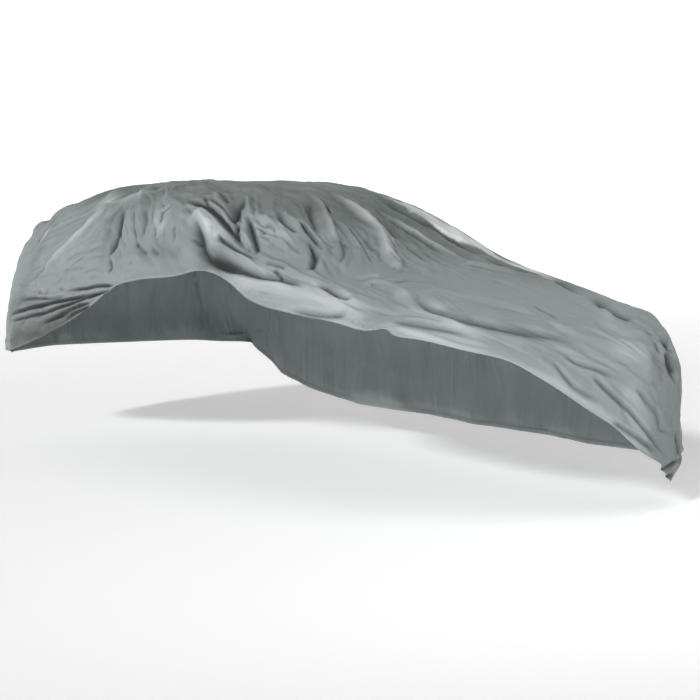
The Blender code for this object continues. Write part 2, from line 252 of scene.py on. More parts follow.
def girth_per_reach(along, reach):
    """Metres of cloth for one unit of reach, at each place."""
    ahead = cloth_form(along, reach[:, None] + GIRTH_STEP)
    behind = cloth_form(along, reach[:, None] - GIRTH_STEP)
    return np.linalg.norm(ahead - behind, axis=2)[:, 0] / (2 * GIRTH_STEP)


near_girth = girth_per_reach(ALONG, NEAR + GIRTH_INSET)
far_girth = girth_per_reach(ALONG, np.full(len(ALONG), 1.0 - GIRTH_INSET))
edge = np.concatenate([UNDER_STEPS, EDGE_STEPS])
near_steps = NEAR[:, None] + edge / near_girth[:, None]
far_steps = 1.0 - edge[::-1] / far_girth[:, None]
share = np.linspace(0.0, 1.0, COLUMNS + 1)
share = (1.0 - NEAR_CROWDING) * share + NEAR_CROWDING * share**2
first, last = near_steps[:, -1:], far_steps[:, :1]
REACH = np.concatenate([near_steps[:, :-1], first + (last - first) * share, far_steps[:, 1:]], axis=1)
FORM = cloth_form(ALONG, REACH)
print("grid", FORM.shape[:2])


# %% Which rows and columns lie under the cloth
def turned_under(count):
    """Marks the first and the last of a number of rows or columns, which lie under the cloth."""
    marks = np.zeros(count)
    marks[:TURNED] = 1.0
    marks[-TURNED:] = 1.0
    return marks


under = turned_under(len(ALONG))[:, None] + turned_under(REACH.shape[1])
print("turned under", int((under > 0).sum()), "of", under.size, "places")


# %% Which way is out
NO_LENGTH = 1e-12


def outward(points):
    """Unit normals of a grid of points, away from what the cloth covers."""
    normals = np.cross(np.gradient(points, axis=1), np.gradient(points, axis=0))
    return normals / np.maximum(np.linalg.norm(normals, axis=2, keepdims=True), NO_LENGTH)


def across_turn(normals):
    """Gives the turned strips the normals of the cloth over them, because their own grid runs back."""
    rows = np.clip(np.arange(len(normals)), TURNED + 1, len(normals) - TURNED - 2)
    columns = np.clip(np.arange(normals.shape[1]), TURNED + 1, normals.shape[1] - TURNED - 2)
    return normals[rows][:, columns]


NORMALS = across_turn(outward(FORM))
FLAT_FORM = FORM.reshape(-1, 3)
FLAT_NORMALS = NORMALS.reshape(-1, 3)
print("ways out", NORMALS.shape)

# %% [markdown]
# ## Folds
#
# Cloth under tension folds along lines: a crest or a trough, often steep on one side and soft on the
# other. A height map painted by hand would give the same, but a line says more about why the fold is
# there. So each fold is a row: the places that its line runs through, a width for each side of the
# line, and a height. A fold fades at both ends, and the cloth beside a trough rises in a low lip.

# %% The line of a fold
CURVE_STEPS = 14


def route_of(places):
    """The fold's line on the form, as points."""
    steps = np.linspace(0.0, 1.0, CURVE_STEPS + 1)
    route = smooth_through(np.linspace(0.0, 1.0, len(places)), places, steps)
    return cloth_form(route[:, 0], route[:, 1:])[:, 0]


def beside_route(curve, points, normals):
    """How far each point lies from the line, on which side of it, and how far along it."""
    nearest = np.full(len(points), np.inf)
    side = np.zeros(len(points))
    where = np.zeros(len(points))
    for number, (first, last) in enumerate(zip(curve[:-1], curve[1:])):
        run = last - first
        part = np.clip((points - first) @ run / (run @ run), 0.0, 1.0)
        away = points - first - part[:, None] * run
        gap = np.linalg.norm(away, axis=1)
        closer = gap < nearest
        nearest[closer] = gap[closer]
        turned = np.cross(run, away[closer])
        side[closer] = np.einsum("ij,ij->i", turned, normals[closer])
        where[closer] = (number + part[closer]) / CURVE_STEPS
    return nearest, side, where


# %% [markdown]
# A trough falls off like a curve that hangs from a line, with its sharpest bend in the middle. A ridge
# is a flat facet on each side of its crest, a little hollow. The crest itself is rounded by a few
# millimetres, because coated cloth doesn't fold to a knife's edge.

# %% One fold
CREST_SOFTNESS = 0.004
FADES = (0.25, 0.25)
REACHED_WIDTHS = 6.0
LIP_SHARE = 0.28
LIP_PLACE = 2.2
FACET_WIDTHS = 2.4
FACET_HOLLOW = 1.25


def smooth_step(value):
    """From 0 to 1 without a corner at either end."""
    value = np.clip(value, 0.0, 1.0)
    return value * value * (3.0 - 2.0 * value)


def add_fold(lift, places, left_width, right_width, height, fades=FADES, softness=CREST_SOFTNESS):
    """Adds one fold's lift to the places that it reaches. It fades over these shares of its length."""
    curve = route_of(places)
    margin = REACHED_WIDTHS * max(left_width, right_width)
    low, high = curve.min(axis=0) - margin, curve.max(axis=0) + margin
    reached = np.flatnonzero(np.all((FLAT_FORM > low) & (FLAT_FORM < high), axis=1))
    if not len(reached):
        return
    nearest, side, where = beside_route(curve, FLAT_FORM[reached], FLAT_NORMALS[reached])
    away = (np.hypot(nearest, softness) - softness) / np.where(side > 0.0, left_width, right_width)
    if height < 0.0:
        shape = np.exp(-away) - LIP_SHARE * np.exp(-((away - LIP_PLACE) ** 2))
    else:
        shape = np.maximum(0.0, 1.0 - away / FACET_WIDTHS) ** FACET_HOLLOW
    ends = np.clip(where / fades[0], 0.0, 1.0) * np.clip((1.0 - where) / fades[1], 0.0, 1.0)
    lift[reached] += height * shape * smooth_step(ends)


# %% [markdown]
# ### The pinch
#
# On the near side the cloth is gathered and pulled tight to one point of its hem. The longest creases
# start there and fan out over the side, the high top and the slope.

# %% Folds of the pinch
PINCH_FOLDS = [
    ("pinch crease, upper", [(3.38, -0.328), (3.09, -0.345), (2.84, -0.371), (2.49, -0.422)],
        0.016, 0.008, -0.028),
    ("pinch crease, thin", [(3.46, -0.315), (3.19, -0.334), (2.86, -0.366), (2.57, -0.407), (2.47, -0.423)],
        0.005, 0.007, -0.012),
    ("pinch crease, inner", [(3.30, -0.300), (3.00, -0.325), (2.78, -0.350), (2.56, -0.392)],
        0.005, 0.006, -0.012),
    ("pinch ridge, upper", [(3.24, -0.353), (2.95, -0.382), (2.71, -0.399), (2.44, -0.433)],
        0.038, 0.034, 0.042),
    ("pinch crease, lower", [(2.77, -0.413), (2.66, -0.431), (2.49, -0.442), (2.29, -0.445)],
        0.009, 0.006, -0.022),
    ("pinch ridge, lower", [(2.88, -0.416), (2.69, -0.445), (2.45, -0.456), (2.14, -0.471)],
        0.025, 0.034, 0.042),
    ("side valley", [(3.14, -0.373), (2.99, -0.422), (2.81, -0.476), (2.64, -0.488), (2.15, -0.491)],
        0.027, 0.032, -0.033),
    ("side edge ridge", [(3.08, -0.439), (2.95, -0.474), (2.79, -0.499)], 0.017, 0.017, 0.011),
    ("side slant crease", [(3.03, -0.439), (2.98, -0.445), (2.91, -0.451)], 0.007, 0.007, -0.009),
    ("fan crease, rear", [(3.21, -0.308), (3.11, -0.328), (3.04, -0.351)], 0.011, 0.011, -0.017),
    ("fan wedge", [(3.20, -0.262), (3.03, -0.310), (2.91, -0.328), (2.77, -0.356)],
        0.030, 0.025, 0.035),
    ("fan crease, top", [(3.24, -0.247), (3.08, -0.276), (2.95, -0.305)], 0.011, 0.011, -0.019),
    ("fan valley", [(2.95, -0.250), (2.85, -0.313), (2.75, -0.359)], 0.019, 0.019, -0.030),
    ("fan ridge", [(2.86, -0.259), (2.73, -0.328), (2.59, -0.371), (2.47, -0.416)],
        0.021, 0.021, 0.028),
    ("fan crease, front", [(2.74, -0.310), (2.62, -0.342), (2.48, -0.382), (2.33, -0.428)],
        0.012, 0.009, -0.030),
    ("fan crease, low", [(2.72, -0.353), (2.64, -0.385), (2.54, -0.411)], 0.008, 0.008, -0.017),
    ("pinch line, low", [(2.60, -0.345), (2.52, -0.333), (2.45, -0.342)], 0.007, 0.007, -0.012),
    ("pinch line, high", [(2.57, -0.310), (2.49, -0.305), (2.41, -0.316)], 0.006, 0.006, -0.010),
    ("pinch ridge, small", [(2.74, -0.273), (2.64, -0.290), (2.57, -0.276)], 0.012, 0.012, 0.011),
    ("pinch ridge, fine", [(2.46, -0.371), (2.41, -0.365), (2.35, -0.359)], 0.010, 0.010, 0.009),
    ("knot line", [(2.25, -0.439), (2.15, -0.431), (2.03, -0.425)], 0.007, 0.007, -0.010),
    ("knot", [(2.15, -0.448), (2.08, -0.459), (2.00, -0.474)], 0.008, 0.008, -0.017),
]
print(len(PINCH_FOLDS), "folds at the pinch")

# %% [markdown]
# ### The slope and the near side
#
# Down the slope from the high to the low top the cloth is pulled at a slant, and it ripples into many
# short creases beside two long ones. Behind the pinch the near side is nearly smooth.

# %% Folds of the slope and the near side
SLOPE_FOLDS = [
    ("slope crease, left", [(2.63, -0.236), (2.47, -0.262), (2.32, -0.265)], 0.012, 0.009, -0.019),
    ("slope crease, right", [(2.53, -0.225), (2.43, -0.219), (2.30, -0.227), (2.16, -0.236)],
        0.011, 0.009, -0.021),
    ("slope short ridge", [(2.61, -0.230), (2.50, -0.233), (2.34, -0.233)], 0.017, 0.017, 0.020),
    ("slope curved valley", [(2.24, -0.253), (2.05, -0.305), (1.89, -0.396)], 0.016, 0.012, -0.024),
    ("slope long ridge",
        [(3.05, 0.070), (2.62, 0.024), (2.28, -0.007), (2.04, -0.070), (1.84, -0.107), (1.84, -0.027)],
        0.040, 0.017, 0.036),
    ("slope long crease", [(3.11, 0.076), (2.74, 0.053), (2.40, 0.041), (2.13, 0.039), (1.89, 0.024)],
        0.006, 0.013, -0.016),
    ("slope pocket", [(2.10, -0.030), (2.02, -0.044), (1.94, -0.053)], 0.012, 0.012, -0.015),
    ("slope inner ridge", [(2.21, -0.013), (2.18, 0.019), (2.02, 0.001)], 0.015, 0.015, 0.014),
    ("slope fine crease", [(2.77, 0.104), (2.49, 0.087), (2.23, 0.099), (1.96, 0.107)],
        0.008, 0.008, -0.012),
    ("slope fine ridge", [(2.61, 0.113), (2.37, 0.107), (2.14, 0.119), (1.81, 0.142)],
        0.015, 0.012, 0.017),
    ("slope far band", [(2.88, 0.150), (2.53, 0.170), (2.23, 0.205), (1.95, 0.227)],
        0.022, 0.029, -0.018),
    ("slope edge ridge", [(2.85, 0.196), (2.52, 0.239), (2.26, 0.270), (1.95, 0.282)],
        0.034, 0.034, 0.025),
    ("slope ridge, middle", [(2.98, -0.036), (2.63, -0.090), (2.37, -0.144), (2.20, -0.176)],
        0.024, 0.024, 0.030),
    ("slope valley, middle", [(2.78, -0.087), (2.52, -0.153), (2.28, -0.207)], 0.014, 0.014, -0.015),
    ("slope crease, middle", [(2.94, -0.033), (2.57, -0.076), (2.35, -0.087), (2.15, -0.107)],
        0.009, 0.009, -0.017),
    ("slope ridge, thin", [(2.55, -0.079), (2.31, -0.099), (2.09, -0.130)], 0.014, 0.014, 0.014),
    ("slope dip, long", [(2.28, -0.139), (2.08, -0.190), (1.90, -0.262)], 0.009, 0.009, -0.012),
    ("slope dip, short", [(2.20, -0.150), (2.15, -0.159), (2.08, -0.167)], 0.006, 0.006, -0.010),
    ("slope bump", [(2.15, -0.133), (1.99, -0.167), (1.84, -0.225)], 0.015, 0.015, 0.013),
    ("slope faint crease", [(2.27, -0.067), (2.18, -0.076), (2.08, -0.087)], 0.011, 0.011, -0.010),
    ("top arc ridge", [(3.48, -0.319), (3.57, -0.356), (3.52, -0.399), (3.47, -0.428)],
        0.015, 0.015, 0.016),
    ("top arc valley", [(3.47, -0.342), (3.49, -0.382), (3.42, -0.425)], 0.009, 0.009, -0.010),
    ("top arc, inner", [(3.42, -0.379), (3.42, -0.431), (3.40, -0.462)], 0.012, 0.012, 0.010),
    ("side swell", [(3.96, -0.362), (3.80, -0.422), (3.64, -0.474)], 0.034, 0.034, 0.017),
    ("side dip", [(3.79, -0.365), (3.64, -0.413), (3.56, -0.465)], 0.019, 0.019, -0.010),
    ("side dimple, rear", [(3.63, -0.474), (3.53, -0.491), (3.40, -0.505)], 0.013, 0.013, -0.012),
    ("side dimple, front", [(3.40, -0.485), (3.34, -0.494), (3.27, -0.502)], 0.012, 0.012, -0.010),
    ("side soft valley", [(3.28, -0.413), (3.24, -0.433), (3.18, -0.456)], 0.015, 0.015, -0.010),
]
print(len(SLOPE_FOLDS), "folds over the slope and the near side")

# %% [markdown]
# ### Low top, flap and front
#
# The low top is covered flat, with a few long shallow ridges. In front of the pinch a flap of cloth
# lies smooth on the near side. Down the front the cloth is drawn to the far lower corner, so its
# creases slant towards that corner.

# %% Folds of the low top and the front
LOW_TOP_FOLDS = [
    ("step ridge, thin", [(1.69, -0.308), (1.69, -0.250), (1.65, -0.227)], 0.011, 0.011, 0.011),
    ("step ridge", [(1.59, -0.336), (1.55, -0.282), (1.40, -0.273), (1.20, -0.325)],
        0.025, 0.020, 0.022),
    ("step crease", [(1.55, -0.233), (1.58, -0.165), (1.55, -0.067)], 0.011, 0.011, -0.011),
    ("side flap", [(2.81, -0.479), (2.59, -0.494), (2.27, -0.499), (1.96, -0.482), (1.77, -0.479)],
        0.024, 0.014, -0.023),
    ("side flap ridge", [(2.52, -0.508), (2.30, -0.514), (2.06, -0.502), (1.79, -0.499)],
        0.027, 0.027, 0.018),
    ("side crease", [(1.77, -0.442), (1.60, -0.465), (1.47, -0.482), (1.39, -0.465)],
        0.016, 0.011, -0.023),
    ("side thin ridge", [(1.57, -0.494), (1.33, -0.516), (1.15, -0.516)], 0.011, 0.011, 0.015),
    ("side low valley", [(1.80, -0.585), (1.48, -0.574), (1.27, -0.534)], 0.020, 0.020, -0.015),
    ("low top ridge", [(1.45, -0.165), (1.30, -0.150), (1.11, -0.053), (0.89, 0.013)],
        0.032, 0.032, 0.026),
    ("low top valley", [(1.41, -0.236), (1.12, -0.308), (0.89, -0.302), (0.77, -0.156), (0.69, 0.096)],
        0.032, 0.024, -0.019),
    ("near edge valley", [(0.96, -0.505), (0.82, -0.456), (0.74, -0.313)], 0.020, 0.020, -0.014),
    ("low top ridge, far", [(1.90, 0.116), (1.79, 0.159), (1.56, 0.222)], 0.016, 0.016, 0.017),
    ("low top valley, far", [(1.96, 0.222), (1.77, 0.236), (1.52, 0.336), (1.16, 0.273)],
        0.024, 0.024, -0.023),
    ("wedge valley", [(1.18, 0.336), (0.91, 0.256), (0.79, 0.308)], 0.032, 0.032, -0.028),
    ("wedge ridge", [(0.96, 0.213), (0.78, 0.210), (0.68, 0.345)], 0.027, 0.027, 0.018),
    ("low top dash", [(1.06, 0.050), (0.98, 0.044), (0.87, 0.036)], 0.008, 0.008, -0.011),
    ("low top dash, thin", [(1.11, 0.053), (1.01, 0.047), (0.91, 0.053)], 0.008, 0.008, -0.007),
    ("front crease, upper", [(0.66, -0.044), (0.60, -0.019), (0.55, 0.050), (0.48, 0.142)],
        0.010, 0.008, -0.013),
    ("front crease, middle", [(0.62, -0.096), (0.54, -0.079), (0.46, -0.027), (0.38, 0.096)],
        0.009, 0.009, -0.010),
    ("front crease, long", [(0.54, 0.027), (0.44, 0.087), (0.30, 0.225), (0.10, 0.462)],
        0.009, 0.008, -0.014),
    ("corner valley", [(0.44, 0.196), (0.38, 0.250), (0.31, 0.322), (0.24, 0.379)],
        0.011, 0.011, -0.010),
    ("corner pocket", [(0.65, 0.376), (0.62, 0.419), (0.61, 0.476)], 0.024, 0.024, -0.046),
    ("corner shade", [(0.59, 0.371), (0.53, 0.411), (0.45, 0.476)], 0.036, 0.036, -0.034),
    ("corner nick", [(0.65, 0.342), (0.62, 0.342), (0.58, 0.339)], 0.011, 0.011, -0.009),
    ("tip crease, upper", [(0.32, 0.099), (0.25, 0.202), (0.16, 0.371)], 0.008, 0.008, -0.014),
    ("tip crease, lower", [(0.15, 0.296), (0.09, 0.402), (0.03, 0.585)], 0.008, 0.008, -0.014),
    ("tip crease, third", [(0.10, 0.339), (0.06, 0.402), (0.00, 0.508)], 0.007, 0.007, -0.012),
    ("tip gather, outer", [(0.30, 0.560), (0.17, 0.600), (0.07, 0.640)], 0.014, 0.010, -0.024),
    ("tip gather, knuckle", [(0.20, 0.550), (0.12, 0.590), (0.05, 0.610)], 0.016, 0.012, 0.010),
    ("tip gather, inner", [(0.22, 0.500), (0.12, 0.545), (0.03, 0.565)], 0.012, 0.010, -0.026),
    ("tip gather, hook", [(0.16, 0.640), (0.09, 0.600), (0.06, 0.540), (0.02, 0.520)], 0.009, 0.012, 0.008),
]
print(len(LOW_TOP_FOLDS), "folds over the low top and front")

# %% [markdown]
# ### Rear corner and pleats
#
# Round the near rear corner one broad ridge hangs from the high top. Below it the lifted cloth is
# gathered into narrow pleats that run together where the hem turns up.

# %% Folds of the rear corner and the pleats
REAR_FOLDS = [
    ("tail ridge", [(4.21, -0.327), (4.22, -0.391), (4.29, -0.467), (4.49, -0.563), (4.76, -0.631)],
        0.055, 0.016, 0.046),
    ("tail ridge, crest", [(4.21, -0.345), (4.22, -0.391), (4.27, -0.450), (4.37, -0.511)],
        0.014, 0.010, 0.012),
    ("tail valley, upper", [(4.22, -0.335), (4.27, -0.403), (4.37, -0.487), (4.62, -0.575), (4.90, -0.630)],
        0.008, 0.026, -0.034),
    ("tail fine ridge, upper", [(4.40, -0.459), (4.54, -0.503), (4.69, -0.535), (4.85, -0.571)],
        0.010, 0.012, 0.012),
    ("tail fine ridge, lower", [(4.65, -0.471), (4.78, -0.499), (4.95, -0.523), (5.03, -0.547)],
        0.009, 0.010, 0.010),
    ("tail fine crease", [(4.26, -0.339), (4.29, -0.396), (4.34, -0.451)], 0.009, 0.009, -0.013),
    ("tail valley, lower", [(4.06, -0.363), (3.94, -0.431), (3.89, -0.479), (3.85, -0.539)],
        0.034, 0.018, -0.030),
    ("tail spot", [(3.87, -0.528), (3.81, -0.548), (3.79, -0.571)], 0.017, 0.017, -0.014),
    ("tail notch", [(4.99, -0.383), (4.95, -0.427), (4.99, -0.467), (5.01, -0.503)],
        0.018, 0.018, -0.036),
    ("tail notch ridge", [(5.19, -0.373), (5.25, -0.411), (5.25, -0.459)], 0.021, 0.021, 0.024),
    ("tail bulge", [(4.75, -0.600), (4.66, -0.635), (4.55, -0.652)], 0.030, 0.026, 0.018),
    ("pleat, bulge", [(5.11, -0.683), (4.83, -0.671), (4.64, -0.665), (4.40, -0.659), (4.22, -0.643)],
        0.006, 0.005, -0.015),
    ("pleat, short", [(4.33, -0.637), (4.05, -0.619), (3.88, -0.607), (3.66, -0.600)],
        0.005, 0.005, -0.021),
    ("pleat, deep", [(6.05, -0.760), (4.95, -0.705), (4.56, -0.679), (4.22, -0.655), (3.62, -0.604)],
        0.007, 0.006, -0.031),
    ("pleat ridge, upper", [(5.22, -0.703), (4.82, -0.683), (4.52, -0.663), (4.28, -0.643), (3.90, -0.617)],
        0.014, 0.013, 0.013),
    ("pleat, long", [(5.95, -0.785), (4.69, -0.711), (4.20, -0.667), (3.98, -0.639), (3.62, -0.605)],
        0.005, 0.005, -0.024),
    ("pleat ridge, middle", [(5.20, -0.731), (4.73, -0.703), (4.40, -0.675), (4.15, -0.655), (3.90, -0.630)],
        0.012, 0.012, 0.012),
    ("pleat, low", [(4.66, -0.735), (4.40, -0.711), (4.25, -0.691), (4.08, -0.667), (3.90, -0.648)],
        0.005, 0.005, -0.023),
    ("pleat ridge, low", [(4.99, -0.752), (4.68, -0.723), (4.40, -0.699), (4.21, -0.675), (3.95, -0.647)],
        0.014, 0.012, 0.012),
    ("pleat, lowest", [(4.27, -0.712), (4.13, -0.687), (4.04, -0.675), (3.93, -0.658)],
        0.005, 0.005, -0.021),
]
print(len(REAR_FOLDS), "folds round the rear corner")

# %% [markdown]
# ### Plain hanging folds
#
# The far side and the rear don't show. A cover that hangs free there falls in long soft folds that
# widen to the hem, so these sides are finished with such folds, one every half metre or so.

# %% Hanging folds
HANGING_FOLDS = [
    ("far front corner", [(0.62, 0.60), (0.52, 0.80), (0.42, 1.00)], 0.07, -0.022),
    ("far side, first ridge", [(1.12, 0.58), (1.10, 0.80), (1.06, 1.02)], 0.09, 0.024),
    ("far side, first valley", [(1.58, 0.60), (1.60, 0.80), (1.66, 1.02)], 0.08, -0.024),
    ("far side, second ridge", [(2.22, 0.56), (2.18, 0.80), (2.12, 1.02)], 0.11, 0.026),
    ("far side, second valley", [(2.74, 0.58), (2.75, 0.80), (2.80, 1.02)], 0.09, -0.026),
    ("far side, third ridge", [(3.36, 0.55), (3.35, 0.80), (3.30, 1.02)], 0.12, 0.024),
    ("far side, third valley", [(3.92, 0.58), (3.95, 0.80), (4.02, 1.02)], 0.09, -0.024),
    ("far side, fourth ridge", [(4.44, 0.56), (4.43, 0.80), (4.40, 1.02)], 0.10, 0.026),
    ("far side, fourth valley", [(4.96, 0.58), (5.00, 0.80), (5.10, 1.02)], 0.08, -0.026),
    ("far rear corner", [(5.42, 0.52), (5.75, 0.70), (6.05, 0.84)], 0.09, 0.024),
    ("rear, far side", [(5.58, 0.30), (6.00, 0.35), (6.34, 0.40)], 0.08, -0.024),
    ("rear, middle", [(5.60, 0.04), (6.00, 0.06), (6.34, 0.08)], 0.10, 0.024),
    ("rear, near side", [(5.58, -0.24), (6.00, -0.27), (6.34, -0.30)], 0.08, -0.024),
    ("near rear corner", [(5.52, -0.48), (5.90, -0.58), (6.30, -0.66)], 0.09, 0.022),
]
print(len(HANGING_FOLDS), "hanging folds")

# %% Lay the folds on the form
MAIN_FOLDS = PINCH_FOLDS + SLOPE_FOLDS + LOW_TOP_FOLDS + REAR_FOLDS
HANGING_FADES = (0.6, 0.001)
HANGING_SOFTNESS = 0.03


def lay_rows(lift, rows):
    """Adds every row of a table of folds."""
    for name, places, left_width, right_width, height in rows:
        add_fold(lift, places, left_width, right_width, height)


lift = np.zeros(len(FLAT_FORM))
lay_rows(lift, MAIN_FOLDS)
for name, places, half_width, height in HANGING_FOLDS:
    add_fold(lift, places, half_width, half_width, height, HANGING_FADES, HANGING_SOFTNESS)
print(len(MAIN_FOLDS), "main folds,", round(lift.min() * 1000), "to", round(lift.max() * 1000), "mm")

# %% [markdown]
# ## Small creases
#
# Thin coated cloth keeps hundreds of small creases besides the main folds. They aren't random in
# direction, because the same pull makes both: a small crease runs the way of the main folds near it,
# and most lie close to one. Placing each by hand would add nothing, so they are drawn from a seeded
# generator that starts from a main fold, steps aside, and takes the mean direction of the folds
# round that place.

# %% The run of the main folds
REACH_METRES = 1.85
NEARBY = 0.08


def fold_runs():
    """Middle, length and doubled direction of every stretch of the main folds, on the unrolled cloth."""
    middles, lengths, doubled = [], [], []
    for name, places, *_ in MAIN_FOLDS + HANGING_FOLDS:
        flat = np.array(places) * (1.0, REACH_METRES)
        for first, last in zip(flat[:-1], flat[1:]):
            run = last - first
            angle = 2.0 * math.atan2(run[1], run[0])
            middles.append((first + last) / 2)
            lengths.append(np.linalg.norm(run))
            doubled.append((math.cos(angle), math.sin(angle)))
    return np.array(middles), np.array(lengths), np.array(doubled)


MIDDLES, LENGTHS, DOUBLED = fold_runs()


def crease_angle(place):
    """The mean direction of the folds near a place. Doubled angles keep opposite runs from cancelling."""
    gap = np.sum((MIDDLES - place) ** 2, axis=1)
    weight = LENGTHS / (gap + NEARBY**2) ** 1.5
    total = weight @ DOUBLED
    return 0.5 * math.atan2(total[1], total[0])


print("stretches of fold", len(MIDDLES))

# %% Draw one small crease
CREASE_SEED = 41
NEAR_FOLDS_SHARE = 0.75
ASIDE = 0.16
TURN_SPREAD = 0.14
HALF_LENGTHS = (0.04, 0.26)
BEND_SPREAD = 0.09
CREASE_WIDTHS = (0.005, 0.012)
STEEPNESS = (0.30, 0.75)
draws = np.random.default_rng(CREASE_SEED)


def draw_crease():
    """The places, the width and the height of one small crease."""
    if draws.random() < NEAR_FOLDS_SHARE:
        start = MIDDLES[draws.choice(len(MIDDLES), p=LENGTHS / LENGTHS.sum())]
        middle = start + draws.normal(0.0, ASIDE, 2)
    else:
        middle = np.array((draws.uniform(0.0, CROWN_LENGTH), draws.uniform(-1.0, 1.0) * REACH_METRES))
    angle = crease_angle(middle) + draws.normal(0.0, TURN_SPREAD)
    run = np.array((math.cos(angle), math.sin(angle)))
    across = np.array((-run[1], run[0]))
    half = draws.uniform(*HALF_LENGTHS)
    bend = draws.normal(0.0, BEND_SPREAD) * half
    width = draws.uniform(*CREASE_WIDTHS)
    height = draws.choice((-1.0, 1.0)) * draws.uniform(*STEEPNESS) * width
    flat = np.array((middle - half * run, middle + bend * across, middle + half * run))
    return flat / (1.0, REACH_METRES), width, height


# %% Scatter the small creases
CREASE_COUNT = 1300
SIDE_SHARES = (0.6, 1.6)
CREASE_FADES = (0.4, 0.4)
CREASE_CREST = 0.003


def on_the_cloth(places):
    """Whether the places all lie inside the four edges of the cover."""
    alongs, reaches = places.T
    if alongs.min() < 0.0 or alongs.max() > CROWN_LENGTH or reaches.max() > 1.0:
        return False
    return not np.any(reaches < near_hem(alongs))


small = np.zeros(len(FLAT_FORM))
laid = 0
for _ in range(CREASE_COUNT):
    places, width, height = draw_crease()
    if on_the_cloth(places):
        other_width = width * draws.uniform(*SIDE_SHARES)
        add_fold(small, places, width, other_width, height, CREASE_FADES, CREASE_CREST)
        laid += 1
print(laid, "small creases,", round(small.min() * 1000, 1), "to", round(small.max() * 1000, 1), "mm")


# %% [markdown]
# Between its creases the cloth is not flat either: it swells and sinks by a few millimetres over a
# hand's breadth. Smooth noise gives that. It is made from a coarse grid of seeded numbers, read with
# the same smooth curve as the form, first down the rows and then across.

# %% Soft swelling
def soft_noise(seed, cell):
    """Seeded numbers at the corners of cells of the unrolled cloth, read smoothly at each place."""
    rows = int(CROWN_LENGTH / cell) + 2
    columns = int(2.0 * REACH_METRES / cell) + 2
    numbers = np.random.default_rng(seed).uniform(-1.0, 1.0, (rows, columns))
    down = smooth_through(np.arange(rows), numbers, ALONG / cell)
    across_knots = np.arange(columns)
    places = (REACH + 1.0) * REACH_METRES / cell
    read = [smooth_through(across_knots, line, place)[:, 0] for line, place in zip(down, places)]
    return np.stack(read)


SWELLINGS = [("hand", 7, 0.31, 0.0045), ("palm", 8, 0.13, 0.0016), ("finger", 9, 0.055, 0.0005)]
swelling = np.zeros(FORM.shape[:2])
for name, seed, cell, height in SWELLINGS:
    swelling += height * soft_noise(seed, cell)
print("swelling", round(swelling.min() * 1000, 1), "to", round(swelling.max() * 1000, 1), "mm")

# %% [markdown]
# ## Crumple
#
# Coated cloth that has been folded and packed doesn't bend smoothly. It breaks into flat facets with
# a sharp line between them, and where it is pulled the facets are long and run the way of the pull.
# Noise by itself is round, but its absolute value has a sharp line wherever the noise passes through
# nought, with nearly flat cloth on both sides. So each layer of crumple is such a noise, drawn out
# along six directions, and each place takes the ones nearest to the run of the folds there.

# %% The pull at each place
PULL_CELL = 0.06


def cell_of(value):
    """The whole number below a value, and a smooth share of the way to the next."""
    whole = np.floor(value).astype(int)
    return whole, smooth_step(value - whole)


def pull_field():
    """Doubled direction of the folds at each place of the grid, read from a coarse grid of places."""
    rows = int(CROWN_LENGTH / PULL_CELL) + 3
    columns = int(2.0 * REACH_METRES / PULL_CELL) + 3
    coarse = np.empty((rows, columns, 2))
    for row in range(rows):
        for column in range(columns):
            angle = 2.0 * crease_angle(np.array((row * PULL_CELL, column * PULL_CELL - REACH_METRES)))
            coarse[row, column] = math.cos(angle), math.sin(angle)
    row, down = cell_of(ALONG[:, None] / PULL_CELL + np.zeros_like(REACH))
    column, across = cell_of((REACH + 1.0) * REACH_METRES / PULL_CELL)
    down, across = down[..., None], across[..., None]
    first = coarse[row, column] * (1.0 - across) + coarse[row, column + 1] * across
    second = coarse[row + 1, column] * (1.0 - across) + coarse[row + 1, column + 1] * across
    return first * (1.0 - down) + second * down


PULL = pull_field()
print("pull", PULL.shape)

# %% Noise from a table
TABLE = 64


def drawn_noise(numbers, run, aside):
    """Smooth noise from a square table of numbers that repeats."""
    row, down = cell_of(run)
    column, across = cell_of(aside)
    row, column = row % TABLE, column % TABLE
    after, beside = (row + 1) % TABLE, (column + 1) % TABLE
    first = numbers[row, column] * (1.0 - across) + numbers[row, beside] * across
    second = numbers[after, column] * (1.0 - across) + numbers[after, beside] * across
    return first * (1.0 - down) + second * down


# %% Layers of crumple
CRUMPLE = [
    ("long facets", 21, 0.95, 0.150, 0.0100),
    ("facets", 22, 0.42, 0.075, 0.0056),
    ("short facets", 23, 0.20, 0.036, 0.0026),
]
DIRECTIONS = 6
KEEPS_TO_PULL = 5.0
LINE_BEND = 0.5
FACET_MIDDLE = 0.5
FACET_SLOPE = 2.0
down_cloth = ALONG[:, None] + np.zeros_like(REACH)
across_cloth = REACH * REACH_METRES


def crumple_along(direction):
    """Crumple drawn out along one direction, and strongest where the cloth is pulled that way."""
    turn = math.pi * direction / DIRECTIONS
    likeness = PULL @ (math.cos(2.0 * turn), math.sin(2.0 * turn))
    run = down_cloth * math.cos(turn) + across_cloth * math.sin(turn)
    aside = across_cloth * math.cos(turn) - down_cloth * math.sin(turn)
    layer = np.zeros_like(run)
    for name, seed, length, breadth, height in CRUMPLE:
        numbers = np.random.default_rng((seed, direction)).uniform(-1.0, 1.0, (TABLE, TABLE))
        bent = aside / breadth + LINE_BEND * drawn_noise(numbers.T, run / length, aside / length)
        layer += height * (FACET_MIDDLE - np.abs(drawn_noise(numbers, run / length, bent)) * FACET_SLOPE)
    return np.exp(KEEPS_TO_PULL * (likeness - 1.0)) * layer


crumple = np.zeros(FORM.shape[:2])
for direction in range(DIRECTIONS):
    crumple += crumple_along(direction)
print("crumple", round(crumple.min() * 1000, 1), "to", round(crumple.max() * 1000, 1), "mm")

